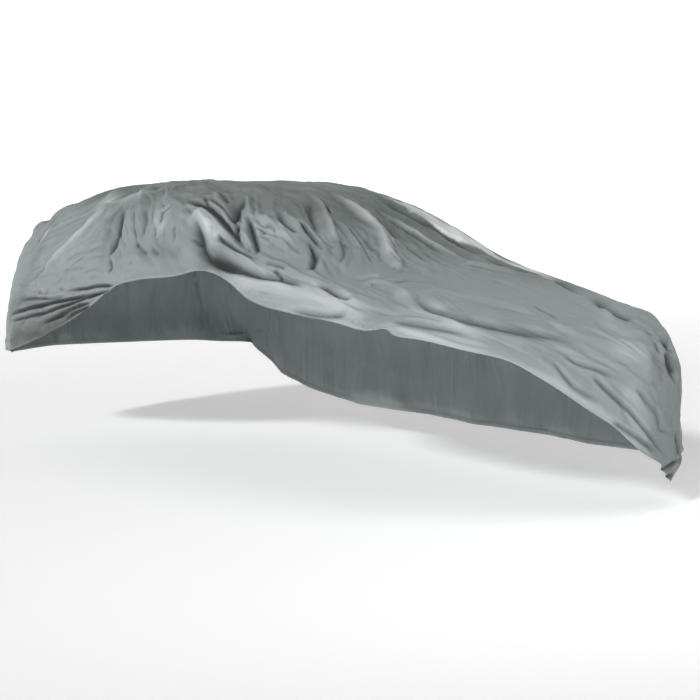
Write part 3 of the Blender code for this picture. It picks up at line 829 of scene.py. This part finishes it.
# %% [markdown]
# The cover isn't crumpled alike all over. The low top is stretched nearly smooth, the tail is the most
# crumpled, and so is the line where the high top turns down into the near side.

# %% Where the crumple is strong
CRUMPLED_AT = np.array((0.0, 0.45, 0.85, 1.55, 2.05, 2.80, 3.40, 4.10, 5.00, 6.30))
CRUMPLED_SHARE = np.array((0.80, 0.55, 0.42, 0.50, 0.95, 1.00, 1.00, 1.10, 1.20, 1.00))
TOP_TURN = -0.29
TOP_TURN_WIDTH = 0.09
TOP_TURN_EXTRA = 1.0
SLOPE_TOP = 2.60
crumple *= smooth_through(CRUMPLED_AT, CRUMPLED_SHARE[:, None], ALONG)
turn_of_top = np.exp(-(((REACH - TOP_TURN) / TOP_TURN_WIDTH) ** 2)) * (ALONG[:, None] > SLOPE_TOP)
crumple *= 1.0 + TOP_TURN_EXTRA * turn_of_top
print("crumple now", round(crumple.min() * 1000, 1), "to", round(crumple.max() * 1000, 1), "mm")

# %% [markdown]
# ## The hem
#
# The turned edge is thicker than the cloth, so it stands out by a millimetre or two and ends in the
# small dip of its seam. The seam also puckers it. Each place on the grid knows how far it is from the
# nearest edge and how far along that edge it lies, and all three shapes follow from these numbers.

# %% Distance from the edge
def edge_distance():
    """Metres from each place to the nearest edge, and metres run along that edge."""
    near_run = np.linalg.norm(np.diff(FORM[:, TURNED], axis=0), axis=1)
    near_run = np.concatenate([[0.0], np.cumsum(near_run)])
    down_near = (REACH - NEAR[:, None]) * near_girth[:, None]
    down_far = (1.0 - REACH) * far_girth[:, None]
    front = np.repeat(ALONG[:, None], REACH.shape[1], axis=1)
    distances = np.stack([down_near, down_far, front, CROWN_LENGTH - front])
    nearest = distances.argmin(axis=0)
    run = np.where(nearest < 2, near_run[:, None], REACH * REACH_METRES)
    return distances.min(axis=0), run


EDGE, EDGE_RUN = edge_distance()
print("edge runs", round(float(EDGE_RUN.max()), 2), "m")

# %% Thickness and seam of the hem
HEM_LIFT = 0.0014
PAST_HEM = 0.001
HEM_STEP = 0.003
SEAM_DEPTH = 0.0012
SEAM_INSET = 0.003
SEAM_WIDTH = 0.0025
raised = HEM_LIFT * smooth_step((HEM_WIDTH + PAST_HEM - EDGE) / HEM_STEP)
seam = -SEAM_DEPTH * np.exp(-(((EDGE - HEM_WIDTH + SEAM_INSET) / SEAM_WIDTH) ** 2))
print("seam", round(seam.min() * 1000, 1), "mm deep")

# %% Pucker of the hem
PUCKER_HEIGHT = 0.0012
PUCKER_REACH = 0.05
PUCKERS = [("long", 1.0, 0.043, 1.7, 3.1), ("short", 0.6, 0.027, 2.1, 4.7)]
wave = np.zeros_like(EDGE)
for name, strength, length, wander, wander_rate in PUCKERS:
    wave += strength * np.sin(EDGE_RUN * 2.0 * math.pi / length + wander * np.sin(EDGE_RUN * wander_rate))
pucker = PUCKER_HEIGHT * wave * np.exp(-((EDGE / PUCKER_REACH) ** 2))
hem = raised + seam + pucker
print("hem", round(hem.min() * 1000, 1), "to", round(hem.max() * 1000, 1), "mm")

# %% [markdown]
# ## Tone of the cloth
#
# The colour of the cloth is painted lighter and darker here, to stand in for light and shade. Painted
# highlights lie where it is stretched over a lit edge or ridge, painted shade makes the high top and what
# leans away from the lamps darker and a little green, and more painted shade lies in the bottoms of the
# creases. These three follow the shape of the drape, so they are worked out here, at each place of the
# grid, and the material reads them later. The painted highlights are listed like the folds.

# %% Painted highlights
# Painted highlights: each row lightens the colour along a lit ridge, edge or rim, by its amount.
PAINTED_HIGHLIGHTS = [
    ("far edge of the slope",
        [(2.92, 0.178), (2.62, 0.198), (2.31, 0.220), (2.04, 0.270), (1.77, 0.322), (1.50, 0.358)],
        0.048, 0.008, 1.9),
    ("slope long ridge", [(3.05, 0.070), (2.62, 0.024), (2.28, -0.007), (2.04, -0.070), (1.84, -0.107)],
        0.024, 0.014, 0.60),
    ("slope ridge, middle", [(2.98, -0.036), (2.63, -0.090), (2.37, -0.144), (2.20, -0.176)],
        0.012, 0.010, 0.25),
    ("slope fine ridge", [(2.61, 0.113), (2.37, 0.107), (2.14, 0.119), (1.81, 0.142)],
        0.007, 0.007, 0.28),
    ("smooth flap", [(2.66, -0.500), (2.30, -0.515), (1.87, -0.515), (1.40, -0.525), (1.10, -0.490)],
        0.050, 0.050, 0.50),
    ("pinch ridge", [(3.20, -0.360), (3.00, -0.385), (2.80, -0.418), (2.58, -0.440)], 0.026, 0.034, 0.70),
    ("side panel", [(3.50, -0.340), (3.45, -0.400), (3.38, -0.450)], 0.030, 0.040, 0.30),
    ("tail ridge", [(4.21, -0.350), (4.25, -0.430), (4.37, -0.515), (4.63, -0.605)], 0.012, 0.050, 0.45),
    ("tail facet", [(4.99, -0.375), (4.92, -0.435), (4.93, -0.475), (4.99, -0.515)], 0.008, 0.016, 0.75),
    ("near edge, rear", [(2.00, -0.600), (1.40, -0.590), (1.00, -0.570)], 0.030, 0.030, 0.35),
    ("low top edge", [(1.90, -0.445), (1.60, -0.470), (1.25, -0.490)], 0.020, 0.020, 0.35),
    ("corner, upper", [(0.66, 0.120), (0.60, 0.220), (0.56, 0.300)], 0.030, 0.030, 0.25),
    ("shoulder", [(4.50, -0.360), (4.28, -0.338), (4.06, -0.310), (3.90, -0.270)], 0.040, 0.050, 0.40),
    ("above the pinch", [(2.80, -0.352), (2.47, -0.318), (2.22, -0.280)], 0.040, 0.040, 0.30),
    ("low top, middle", [(1.40, -0.300), (1.20, -0.287), (1.02, -0.270)], 0.050, 0.040, 0.35),
    ("near edge, front", [(1.20, -0.400), (0.98, -0.370), (0.86, -0.345), (0.66, -0.280)],
        0.030, 0.040, 0.40),
    ("corner, low", [(0.50, 0.150), (0.31, 0.226), (0.20, 0.300)], 0.040, 0.040, 0.30),
    ("tip facet", [(0.38, 0.590), (0.31, 0.607), (0.22, 0.608), (0.14, 0.570)], 0.020, 0.016, 0.80),
]
EDGE_LINE = np.array((1.15, 0.90, 0.70, 0.50, 0.32, 0.20, 0.12))
EDGE_INSET = 0.022
turned_edge = list(zip(EDGE_LINE, near_hem(EDGE_LINE) + EDGE_INSET))
PAINTED_HIGHLIGHTS.append(("turned edge", turned_edge, 0.014, 0.016, 0.45))
# The painted highlights lighten the colour of each place by these amounts.
painted_highlight = np.zeros(len(FLAT_FORM))
lay_rows(painted_highlight, PAINTED_HIGHLIGHTS)
print(len(PAINTED_HIGHLIGHTS), "bleached places")

# %% [markdown]
# Painted shade darkens the high top and what leans away from the lamps as a whole, and also the valleys,
# the pocket at the front corner and the low rear corner, where shade falls. One row takes some of it away
# again, on the shoulder of the tail.

# %% Painted shade
# Painted shade: each row darkens the colour along a shaded place; a negative amount takes some away.
PAINTED_SHADE_PLACES = [
    ("low rear corner", [(5.60, -0.850), (5.00, -0.795), (4.60, -0.760), (4.25, -0.715), (3.75, -0.640)],
        0.070, 0.090, 1.00),
    ("shoulder, less", [(4.60, -0.340), (4.28, -0.325), (4.06, -0.300), (3.80, -0.250)], 0.060, 0.060, -0.80),
    ("round the tail", [(5.10, -0.340), (4.90, -0.500), (4.95, -0.620), (5.20, -0.720)], 0.050, 0.080, 0.55),
    ("beside the tail ridge", [(4.16, -0.343), (4.04, -0.423), (3.95, -0.495), (3.85, -0.550)],
        0.040, 0.040, 0.60),
    ("side valley", [(3.14, -0.379), (3.02, -0.411), (2.82, -0.450), (2.59, -0.475), (2.25, -0.480)],
        0.024, 0.024, 0.85),
    ("under the side", [(3.50, -0.500), (3.25, -0.490), (3.00, -0.500)], 0.040, 0.040, 0.50),
    ("corner pocket", [(0.60, 0.290), (0.52, 0.315), (0.42, 0.340)], 0.030, 0.030, 0.60),
    ("tip", [(0.18, 0.600), (0.08, 0.620), (0.03, 0.520)], 0.040, 0.040, 0.35),
    ("slope, long shade", [(3.05, 0.110), (2.50, 0.110), (2.10, 0.120)], 0.050, 0.050, 0.55),
]
# Painted shade grows with height and with lean towards the far side, away from the lamps.
PAINTED_SHADE_FROM = -0.44
PAINTED_SHADE_FULL = -0.20
PAINTED_SHADE_LEAN = 0.35
leaning = FLAT_FORM[:, 2] + PAINTED_SHADE_LEAN * FLAT_FORM[:, 1]
painted_shade = smooth_step((leaning - PAINTED_SHADE_FROM) / (PAINTED_SHADE_FULL - PAINTED_SHADE_FROM))
lay_rows(painted_shade, PAINTED_SHADE_PLACES)
print(len(PAINTED_SHADE_PLACES), "weathered places")

# %% [markdown]
# Painted shade lies in the bottom of every main crease, darker in the deeper ones, where shadow falls.
# Two rows add more painted shade at the low rear corner.

# %% Painted shade in the creases
# More painted shade, at the low rear corner and among the pleats.
EXTRA_PAINTED_SHADE = [
    ("low rear corner", [(5.90, -0.880), (5.00, -0.790), (4.60, -0.762), (4.25, -0.722), (3.90, -0.665)],
        0.080, 0.110, 0.62),
    ("between the pleats", [(6.00, -0.760), (5.11, -0.690), (4.80, -0.685), (4.40, -0.672)],
        0.036, 0.030, 0.45),
]
# Painted shade in the bottom of every main crease, as wide as a share of the crease.
CREASE_SHADE_SHARE = 0.60
CREASE_SHADE_DEPTH = 0.024
NARROWEST_CREASE_SHADE = 0.006
crease_shade = np.zeros(len(FLAT_FORM))
for name, places, left_width, right_width, height in MAIN_FOLDS:
    if height < 0.0:
        amount = min(1.0, -height / CREASE_SHADE_DEPTH)
        left, right = (max(NARROWEST_CREASE_SHADE, width * CREASE_SHADE_SHARE) for width in (left_width, right_width))
        add_fold(crease_shade, places, left, right, amount)
lay_rows(crease_shade, EXTRA_PAINTED_SHADE)
# The tone holds painted highlight, painted shade and painted crease shade, in red, green and blue.
TONE = np.stack([painted_highlight, painted_shade, crease_shade, np.ones(len(FLAT_FORM))], axis=1).clip(0.0, 1.0)
print("tone", TONE.shape)

# %% [markdown]
# ## The drape
#
# Everything that was laid on the form is now added up, and each place moves out or in by that much.
# The crumple fades towards the edge, where the hem holds the cloth. Round the far rear corner the rows
# run close together, so the folds are calmed there. The turned strip lies a hair inside the cloth.

# %% Draped points
TURN_GAP = 0.0022
TURN_INSET = 0.004
CRUMPLE_INSET = 0.08
CALM_ALONG, CALM_ALONG_WIDTH = 5.95, 0.65
CALM_REACH, CALM_REACH_WIDTH = 0.88, 0.20
calm_along = ((ALONG[:, None] - CALM_ALONG) / CALM_ALONG_WIDTH) ** 2
calm = 1.0 - np.exp(-calm_along - ((REACH - CALM_REACH) / CALM_REACH_WIDTH) ** 2)
total_lift = lift.reshape(FORM.shape[:2]) + small.reshape(FORM.shape[:2]) + swelling
total_lift += crumple * smooth_step(EDGE / CRUMPLE_INSET)
total_lift = total_lift * calm + hem
total_lift -= TURN_GAP * under * smooth_step(EDGE / TURN_INSET)
DRAPED = FORM + total_lift[:, :, None] * NORMALS
print("lift", round(total_lift.min() * 1000), "to", round(total_lift.max() * 1000), "mm")

# %% [markdown]
# ## The sheet
#
# The grid becomes a mesh of quads. Its cloth coordinates, metres down and across the unrolled cloth,
# are kept as a UV map for the weave. The cloth is thinner than a millimetre, so one layer of faces
# stands for it, and only its turned edge shows thickness. Most cells lie where the cloth is smooth,
# and a Decimate modifier takes out those that carry no shape.

# %% Make the mesh
MOST_TRIANGLES = 196000


def grid_mesh(name, points, cloth_places):
    """A mesh of quads on a grid of points, with its places on the unrolled cloth and its tone."""
    rows, columns = points.shape[:2]
    mesh = bpy.data.meshes.new(name)
    numbers = np.arange(rows * columns).reshape(rows, columns)
    corners = (numbers[:-1, :-1], numbers[:-1, 1:], numbers[1:, 1:], numbers[1:, :-1])
    faces = np.stack(corners, axis=-1).reshape(-1, 4)
    mesh.vertices.add(rows * columns)
    mesh.vertices.foreach_set("co", points.astype(np.float32).ravel())
    mesh.loops.add(faces.size)
    mesh.loops.foreach_set("vertex_index", faces.astype(np.int32).ravel())
    mesh.polygons.add(len(faces))
    mesh.polygons.foreach_set("loop_start", np.arange(0, faces.size, 4, dtype=np.int32))
    mesh.polygons.foreach_set("loop_total", np.full(len(faces), 4, dtype=np.int32))
    mesh.update()
    weave = mesh.uv_layers.new(name="weave")
    weave.data.foreach_set("uv", cloth_places.reshape(-1, 2)[faces.ravel()].astype(np.float32).ravel())
    tone = mesh.color_attributes.new(name="tone", type="FLOAT_COLOR", domain="CORNER")
    tone.data.foreach_set("color", TONE[faces.ravel()].astype(np.float32).ravel())
    mesh.shade_smooth()
    mesh.validate()
    return mesh


cloth_places = np.stack([np.repeat(ALONG[:, None], REACH.shape[1], axis=1), REACH * REACH_METRES], axis=-1)
cover_mesh = grid_mesh("cover_cloth", DRAPED, cloth_places)
cover = bpy.data.objects.new("cover_sheet", cover_mesh)
bpy.context.scene.collection.objects.link(cover)
thinning = cover.modifiers.new("thinning", "DECIMATE")
thinning.ratio = min(1.0, MOST_TRIANGLES / (2.0 * len(cover_mesh.polygons)))
print("cells", len(cover_mesh.polygons))


# %% Apply the modifier
def apply_modifiers(obj):
    """Keeps the mesh that the modifiers make, and drops the modifiers."""
    graph = bpy.context.evaluated_depsgraph_get()
    thinned = obj.evaluated_get(graph)
    made = bpy.data.meshes.new_from_object(thinned, preserve_all_data_layers=True, depsgraph=graph)
    obj.modifiers.clear()
    obj.data = made
    made.calc_loop_triangles()
    return len(made.loop_triangles)


print("triangles", apply_modifiers(cover))

# %% [markdown]
# ## The cloth's finish
#
# The cover is a woven polyester with a silvery coat. From near, the weave is a fine grid of threads;
# from further off the coat gives it a soft, slightly streaky gloss, with lighter worn lines along the
# creases and a little dust. All of that is procedural. The weave reads the UV map, so it follows the
# cloth round every fold.

# %% Start the material
CLOTH_COLOUR = (0.268, 0.303, 0.310, 1.0)
CLOTH_SHADE = (0.218, 0.250, 0.250, 1.0)
# Colour of the painted shade on the high top and in shaded places.
PAINTED_SHADE_COLOUR = (0.128, 0.152, 0.139, 1.0)
# Colour of the painted highlights.
PAINTED_HIGHLIGHT_COLOUR = (0.600, 0.630, 0.630, 1.0)
DUST_COLOUR = (0.400, 0.420, 0.418, 1.0)
# Colour of the painted shade in creases and fine hollows.
CREASE_SHADE_COLOUR = (0.040, 0.047, 0.046, 1.0)
coated_cloth = bpy.data.materials.new("coated cloth")
coated_cloth.use_nodes = True
tree = coated_cloth.node_tree
shader = tree.nodes["Principled BSDF"]
shader.inputs["Metallic"].default_value = 0.0
shader.inputs["Specular IOR Level"].default_value = 0.35
shader.inputs["Sheen Weight"].default_value = 0.04
shader.inputs["Sheen Roughness"].default_value = 0.45
shader.inputs["Sheen Tint"].default_value = (0.86, 0.92, 0.93, 1.0)
print("material", coated_cloth.name)


# %% Helpers for shader nodes
def add_node(tree, kind, place, values=None, **settings):
    """Adds a node. The settings come first, because they decide which inputs it has."""
    node = tree.nodes.new(kind)
    node.location = place
    for name, value in settings.items():
        setattr(node, name, value)
    for name, value in (values or {}).items():
        node.inputs[name].default_value = value
    return node


def join(source, output, target, entry):
    """Links an output of one node of the cloth to an input of another."""
    tree.links.new(source.outputs[output], target.inputs[entry])


def lay_over(below, colour, source, output, place):
    """Lays a colour over what is below, by the amount that comes from the source."""
    mixed = add_node(tree, "ShaderNodeMix", place, {"B": colour}, data_type="RGBA")
    join(source, output, mixed, "Factor")
    join(below, "Result", mixed, "A")
    return mixed


def ramp_of(source, output, stops, place):
    """A ramp from grey to grey between two (position, grey) stops, read at the source's value."""
    ramp = add_node(tree, "ShaderNodeValToRGB", place)
    for element, (position, grey) in zip(ramp.color_ramp.elements, stops):
        element.position = position
        element.color = (grey, grey, grey, 1.0)
    join(source, output, ramp, "Fac")
    return ramp


# %% [markdown]
# The coat is rolled on along the cloth, so its colour varies in broad streaks that way. One noise,
# stretched along the cloth, drives them.

# %% Streaks of the coat
cloth_map = add_node(tree, "ShaderNodeUVMap", (-1500, 0), uv_map="weave")
stretch = add_node(tree, "ShaderNodeMapping", (-1280, 260), {"Scale": (1.3, 4.2, 1.0)})
streak_values = {"Scale": 1.6, "Detail": 5.0, "Roughness": 0.55}
streaks = add_node(tree, "ShaderNodeTexNoise", (-1060, 260), streak_values)
coat = add_node(tree, "ShaderNodeMix", (-820, 260), {"A": CLOTH_SHADE, "B": CLOTH_COLOUR}, data_type="RGBA")
join(cloth_map, "UV", stretch, "Vector")
join(stretch, "Vector", streaks, "Vector")
join(streaks, "Fac", coat, "Factor")
print("nodes", len(tree.nodes))

# %% [markdown]
# The tone that was worked out on the grid now comes in: its green channel lays painted shade on the
# coat and its red channel painted highlights. The streaks break up the painted shade, so that it has no
# clean edge.

# %% Painted shade and painted highlights
tone = add_node(tree, "ShaderNodeVertexColor", (-1280, 560), layer_name="tone")
tones = add_node(tree, "ShaderNodeSeparateColor", (-1060, 560))
uneven_values = {"From Min": 0.34, "From Max": 0.56, "To Min": 0.45}
uneven = add_node(tree, "ShaderNodeMapRange", (-1060, 740), uneven_values)
# The tone's green channel, broken up by the streaks, gives the amount of painted shade.
shade_amount = add_node(tree, "ShaderNodeMath", (-820, 660), operation="MULTIPLY")
join(tone, "Color", tones, "Color")
join(streaks, "Fac", uneven, "Value")
join(tones, "Green", shade_amount, 0)
join(uneven, "Result", shade_amount, 1)
shaded_coat = lay_over(coat, PAINTED_SHADE_COLOUR, shade_amount, "Value", (-620, 420))
# The tone's red channel lays the painted highlights on the coat.
highlighted_coat = lay_over(shaded_coat, PAINTED_HIGHLIGHT_COLOUR, tones, "Red", (-440, 420))
print("nodes", len(tree.nodes))

# %% [markdown]
# Dust and the marks of hands lie on the coat in patches. Where a crease stands out the coat is worn
# lighter, and painted shade lies in the bottom of it. The pointiness of the surface finds the fine
# crests and bottoms, and the tone's blue channel the main creases.

# %% Dust, wear and painted shade in creases
patches = add_node(tree, "ShaderNodeTexNoise", (-1060, -20), {"Scale": 7.0, "Detail": 8.0, "Roughness": 0.7})
surface = add_node(tree, "ShaderNodeNewGeometry", (-1060, -300))
join(cloth_map, "UV", patches, "Vector")
dust_amount = ramp_of(patches, "Fac", [(0.52, 0.0), (0.86, 0.35)], (-820, -20))
wear_amount = ramp_of(surface, "Pointiness", [(0.51, 0.0), (0.58, 0.45)], (-820, -200))
# Painted shade in the fine hollows that the pointiness finds.
hollow_shade_amount = ramp_of(surface, "Pointiness", [(0.42, 0.85), (0.492, 0.0)], (-820, -420))
dusty = lay_over(highlighted_coat, DUST_COLOUR, dust_amount, "Color", (-520, 200))
worn = lay_over(dusty, DUST_COLOUR, wear_amount, "Color", (-280, 200))
hollow_shaded = lay_over(worn, CREASE_SHADE_COLOUR, hollow_shade_amount, "Color", (-100, 200))
# Painted shade in the main creases, from the tone's blue channel.
crease_shaded = lay_over(hollow_shaded, CREASE_SHADE_COLOUR, tones, "Blue", (80, 200))
join(crease_shaded, "Result", shader, "Base Color")
print("nodes", len(tree.nodes))

# %% [markdown]
# The same patches make the gloss uneven, since a dusty coat is duller.

# %% Gloss
gloss = add_node(tree, "ShaderNodeMapRange", (-520, -20), {"To Min": 0.46, "To Max": 0.66})
join(patches, "Fac", gloss, "Value")
join(gloss, "Result", shader, "Roughness")
print("nodes", len(tree.nodes))

# %% [markdown]
# In a plain weave each thread goes over one thread and under the next. Two sine waves, one along the
# cloth and one across, have that pattern as their product. It is far finer than the sheet's cells, so
# it is a bump in the material.

# %% Weave
THREAD_PITCH = 0.0011
thread_scale = (math.pi / THREAD_PITCH, math.pi / THREAD_PITCH, 1.0)
threads = add_node(tree, "ShaderNodeMapping", (-1280, -620), {"Scale": thread_scale})
split = add_node(tree, "ShaderNodeSeparateXYZ", (-1060, -620))
warp = add_node(tree, "ShaderNodeMath", (-840, -540), operation="SINE")
weft = add_node(tree, "ShaderNodeMath", (-840, -700), operation="SINE")
crossing = add_node(tree, "ShaderNodeMath", (-620, -620), operation="MULTIPLY")
weave_bump = add_node(tree, "ShaderNodeBump", (-240, -560), {"Strength": 0.35, "Distance": 0.0003})
join(cloth_map, "UV", threads, "Vector")
join(threads, "Vector", split, "Vector")
join(split, "X", warp, 0)
join(split, "Y", weft, 0)
join(warp, "Value", crossing, 0)
join(weft, "Value", crossing, 1)
join(crossing, "Value", weave_bump, "Height")
print("threads", round(1.0 / THREAD_PITCH), "a metre")

# %% [markdown]
# Fine lines were pressed into the coat when the cover was packed. They lie between cells of about a
# hand's breadth, and a noise bends them.

# %% Crinkle
crinkle_map = add_node(tree, "ShaderNodeMapping", (-1280, -900), {"Scale": (9.0, 9.0, 1.0)})
crinkle_warp = add_node(tree, "ShaderNodeTexNoise", (-1060, -1160), {"Scale": 3.0, "Detail": 3.0})
bent_map = add_node(tree, "ShaderNodeVectorMath", (-1170, -1000), operation="ADD")
crinkle = add_node(tree, "ShaderNodeTexVoronoi", (-1060, -900), feature="DISTANCE_TO_EDGE")
crinkle.inputs["Scale"].default_value = 1.0
crinkle_line = add_node(tree, "ShaderNodeMapRange", (-840, -900), {"From Max": 0.10})
crinkle_bump = add_node(tree, "ShaderNodeBump", (0, -400), {"Strength": 0.06, "Distance": 0.0012})
join(cloth_map, "UV", crinkle_warp, "Vector")
join(cloth_map, "UV", crinkle_map, "Vector")
join(crinkle_map, "Vector", bent_map, 0)
join(crinkle_warp, "Color", bent_map, 1)
join(bent_map, "Vector", crinkle, "Vector")
join(crinkle, "Distance", crinkle_line, "Value")
join(crinkle_line, "Result", crinkle_bump, "Height")
join(weave_bump, "Normal", crinkle_bump, "Normal")
join(crinkle_bump, "Normal", shader, "Normal")
print("nodes", len(tree.nodes), "links", len(tree.links))

# %% [markdown]
# ## On the part
#
# The sheet rides on the part's one body and takes the place of its solid, which is hidden. Its one
# material slot holds the coated cloth.

# %% Place the sheet on the part
cover.data.materials.clear()
cover.data.materials.append(coated_cloth)
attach(cover, "root")
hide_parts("cover")

# %% [markdown]
# ## Floor, light and camera
#
# The cloth stands on a plain pale floor that sweeps up into a wall behind it, as in a photo studio, so
# that no horizon shows. A flat plane and a bright world would do too, but a bright world lights the
# cloth from all sides and takes the shade out of its creases. The sweep is turned to face the camera.

# %% Line of the sweep
FLOOR_HEIGHT = -CARRIED_AT[2]
CAMERA_TURN = math.radians(148.0)
SWEEP_WIDTH = 90.0
SWEEP_NEAR = -16.0
SWEEP_BEND_START = 16.0
SWEEP_BEND_RADIUS = 7.0
SWEEP_TOP = 16.0
SWEEP_STEPS = 24
profile = [(SWEEP_NEAR, 0.0)]
for step in range(SWEEP_STEPS + 1):
    angle = math.radians(90.0) * step / SWEEP_STEPS
    run = SWEEP_BEND_START + SWEEP_BEND_RADIUS * math.sin(angle)
    profile.append((run, SWEEP_BEND_RADIUS * (1.0 - math.cos(angle))))
profile.append((SWEEP_BEND_START + SWEEP_BEND_RADIUS, SWEEP_TOP))
print(len(profile), "points of the sweep")

# %% Floor and wall
FLOOR_GREY = 0.85
FLOOR_GLOW = 0.35


def plain_material(name, grey, glow):
    """A dull material of one grey that also glows white."""
    material = bpy.data.materials.new(name)
    material.use_nodes = True
    shader = material.node_tree.nodes["Principled BSDF"]
    shader.inputs["Base Color"].default_value = (grey, grey, grey, 1.0)
    shader.inputs["Roughness"].default_value = 0.9
    shader.inputs["Specular IOR Level"].default_value = 0.2
    shader.inputs["Emission Color"].default_value = (1.0, 1.0, 1.0, 1.0)
    shader.inputs["Emission Strength"].default_value = glow
    return material


sweep_points = []
for run, height in profile:
    sweep_points += [(run, SWEEP_WIDTH / 2, height), (run, -SWEEP_WIDTH / 2, height)]
sweep_faces = [(2 * k, 2 * k + 1, 2 * k + 3, 2 * k + 2) for k in range(len(profile) - 1)]
sweep_mesh = bpy.data.meshes.new("floor")
sweep_mesh.from_pydata(sweep_points, [], sweep_faces)
sweep_mesh.shade_smooth()
sweep_mesh.materials.append(plain_material("pale floor", FLOOR_GREY, FLOOR_GLOW))
floor = bpy.data.objects.new("floor", sweep_mesh)
floor.location = (0.0, 0.0, FLOOR_HEIGHT)
floor.rotation_euler = (0.0, 0.0, CAMERA_TURN)
bpy.context.scene.collection.objects.link(floor)
print("floor at", FLOOR_HEIGHT, "m")

# %% [markdown]
# The light is soft, as in the photograph. The main lamp stands to the left of the camera and above it,
# low enough to rake along the near side and leave the high top in shade. A weak one fills the side,
# and a soft box stands close in front of the low top. The first two are sun lamps with a wide disc,
# which act like large soft boxes far away and light the sweep evenly. Each row gives a bearing and a
# rise as seen from the cloth, the width of the disc, and a strength; the row of the soft box has its
# distance in place of the disc. The floor glows a little, as one that is lit by lamps of its own does.

# %% Lamps
SUNS = [
    ("main", -58.0, 23.0, 5.0, 2.9),
    ("near side", -112.0, 8.0, 40.0, 0.2),
]
SUN_DISTANCE = 12.0
FRONT_BOX = ("front box", -8.0, 26.0, 5.4, 60.0)
FRONT_BOX_SIZE = 2.4
AIM = Vector((0.0, 0.0, -0.7))


def add_lamp(kind, name, bearing, rise, distance, strength):
    """A lamp that looks at the aim. It doesn't show in the picture itself."""
    lamp = bpy.data.lights.new(name, kind)
    lamp.energy = strength
    holder = bpy.data.objects.new(name, lamp)
    turn, lean = math.radians(bearing), math.radians(rise)
    level = math.cos(lean) * distance
    away = Vector((math.cos(turn) * level, math.sin(turn) * level, math.sin(lean) * distance))
    holder.location = AIM + away
    holder.rotation_euler = away.to_track_quat("Z", "Y").to_euler()
    holder.visible_camera = False
    bpy.context.scene.collection.objects.link(holder)
    return lamp


for name, bearing, rise, disc, strength in SUNS:
    add_lamp("SUN", name, bearing, rise, SUN_DISTANCE, strength).angle = math.radians(disc)
add_lamp("AREA", *FRONT_BOX).size = FRONT_BOX_SIZE
print("lamps", len(SUNS) + 1)

# %% [markdown]
# Beyond the sweep there is only the world. It looks white, as a studio's far walls do, but gives the
# cloth no more than a weak fill.

# %% World
WHITE = (1.0, 1.0, 1.0, 1.0)
WORLD_FILL = 0.06
world = bpy.data.worlds.new("studio")
world.use_nodes = True
sky = world.node_tree
fill = sky.nodes["Background"]
fill.inputs["Color"].default_value = WHITE
fill.inputs["Strength"].default_value = WORLD_FILL
pale = add_node(sky, "ShaderNodeBackground", (0, -160), {"Color": WHITE})
seen = add_node(sky, "ShaderNodeLightPath", (0, 420))
either = add_node(sky, "ShaderNodeMixShader", (220, 120))
sky.links.new(seen.outputs["Is Camera Ray"], either.inputs["Fac"])
sky.links.new(fill.outputs["Background"], either.inputs[1])
sky.links.new(pale.outputs["Background"], either.inputs[2])
sky.links.new(either.outputs["Shader"], sky.nodes["World Output"].inputs["Surface"])
bpy.context.scene.world = world
bpy.context.scene.view_settings.view_transform = "Standard"
print("world", world.name)

# %% [markdown]
# The camera stands off the near front corner, at chest height and some ten metres away, with a long
# lens, so that the drape shows at the photograph's angle.

# %% Camera
CAMERA_PLACE = Vector((9.2, -5.1, -0.1235))
CAMERA_TILT = math.radians(4.53)
SENSOR_WIDTH = 36.0
FOCAL_PIXELS = 1830.0
PICTURE_WIDTH = 700.0

camera = bpy.data.objects.new("camera", bpy.data.cameras.new("camera"))
camera.data.sensor_width = SENSOR_WIDTH
camera.data.lens = FOCAL_PIXELS / PICTURE_WIDTH * SENSOR_WIDTH
camera.location = CAMERA_PLACE
level = math.cos(CAMERA_TILT)
ahead = Vector((math.cos(CAMERA_TURN) * level, math.sin(CAMERA_TURN) * level, -math.sin(CAMERA_TILT)))
camera.rotation_euler = ahead.to_track_quat("-Z", "Y").to_euler()
bpy.context.scene.collection.objects.link(camera)
bpy.context.scene.camera = camera
print("lens", round(camera.data.lens, 1), "mm")
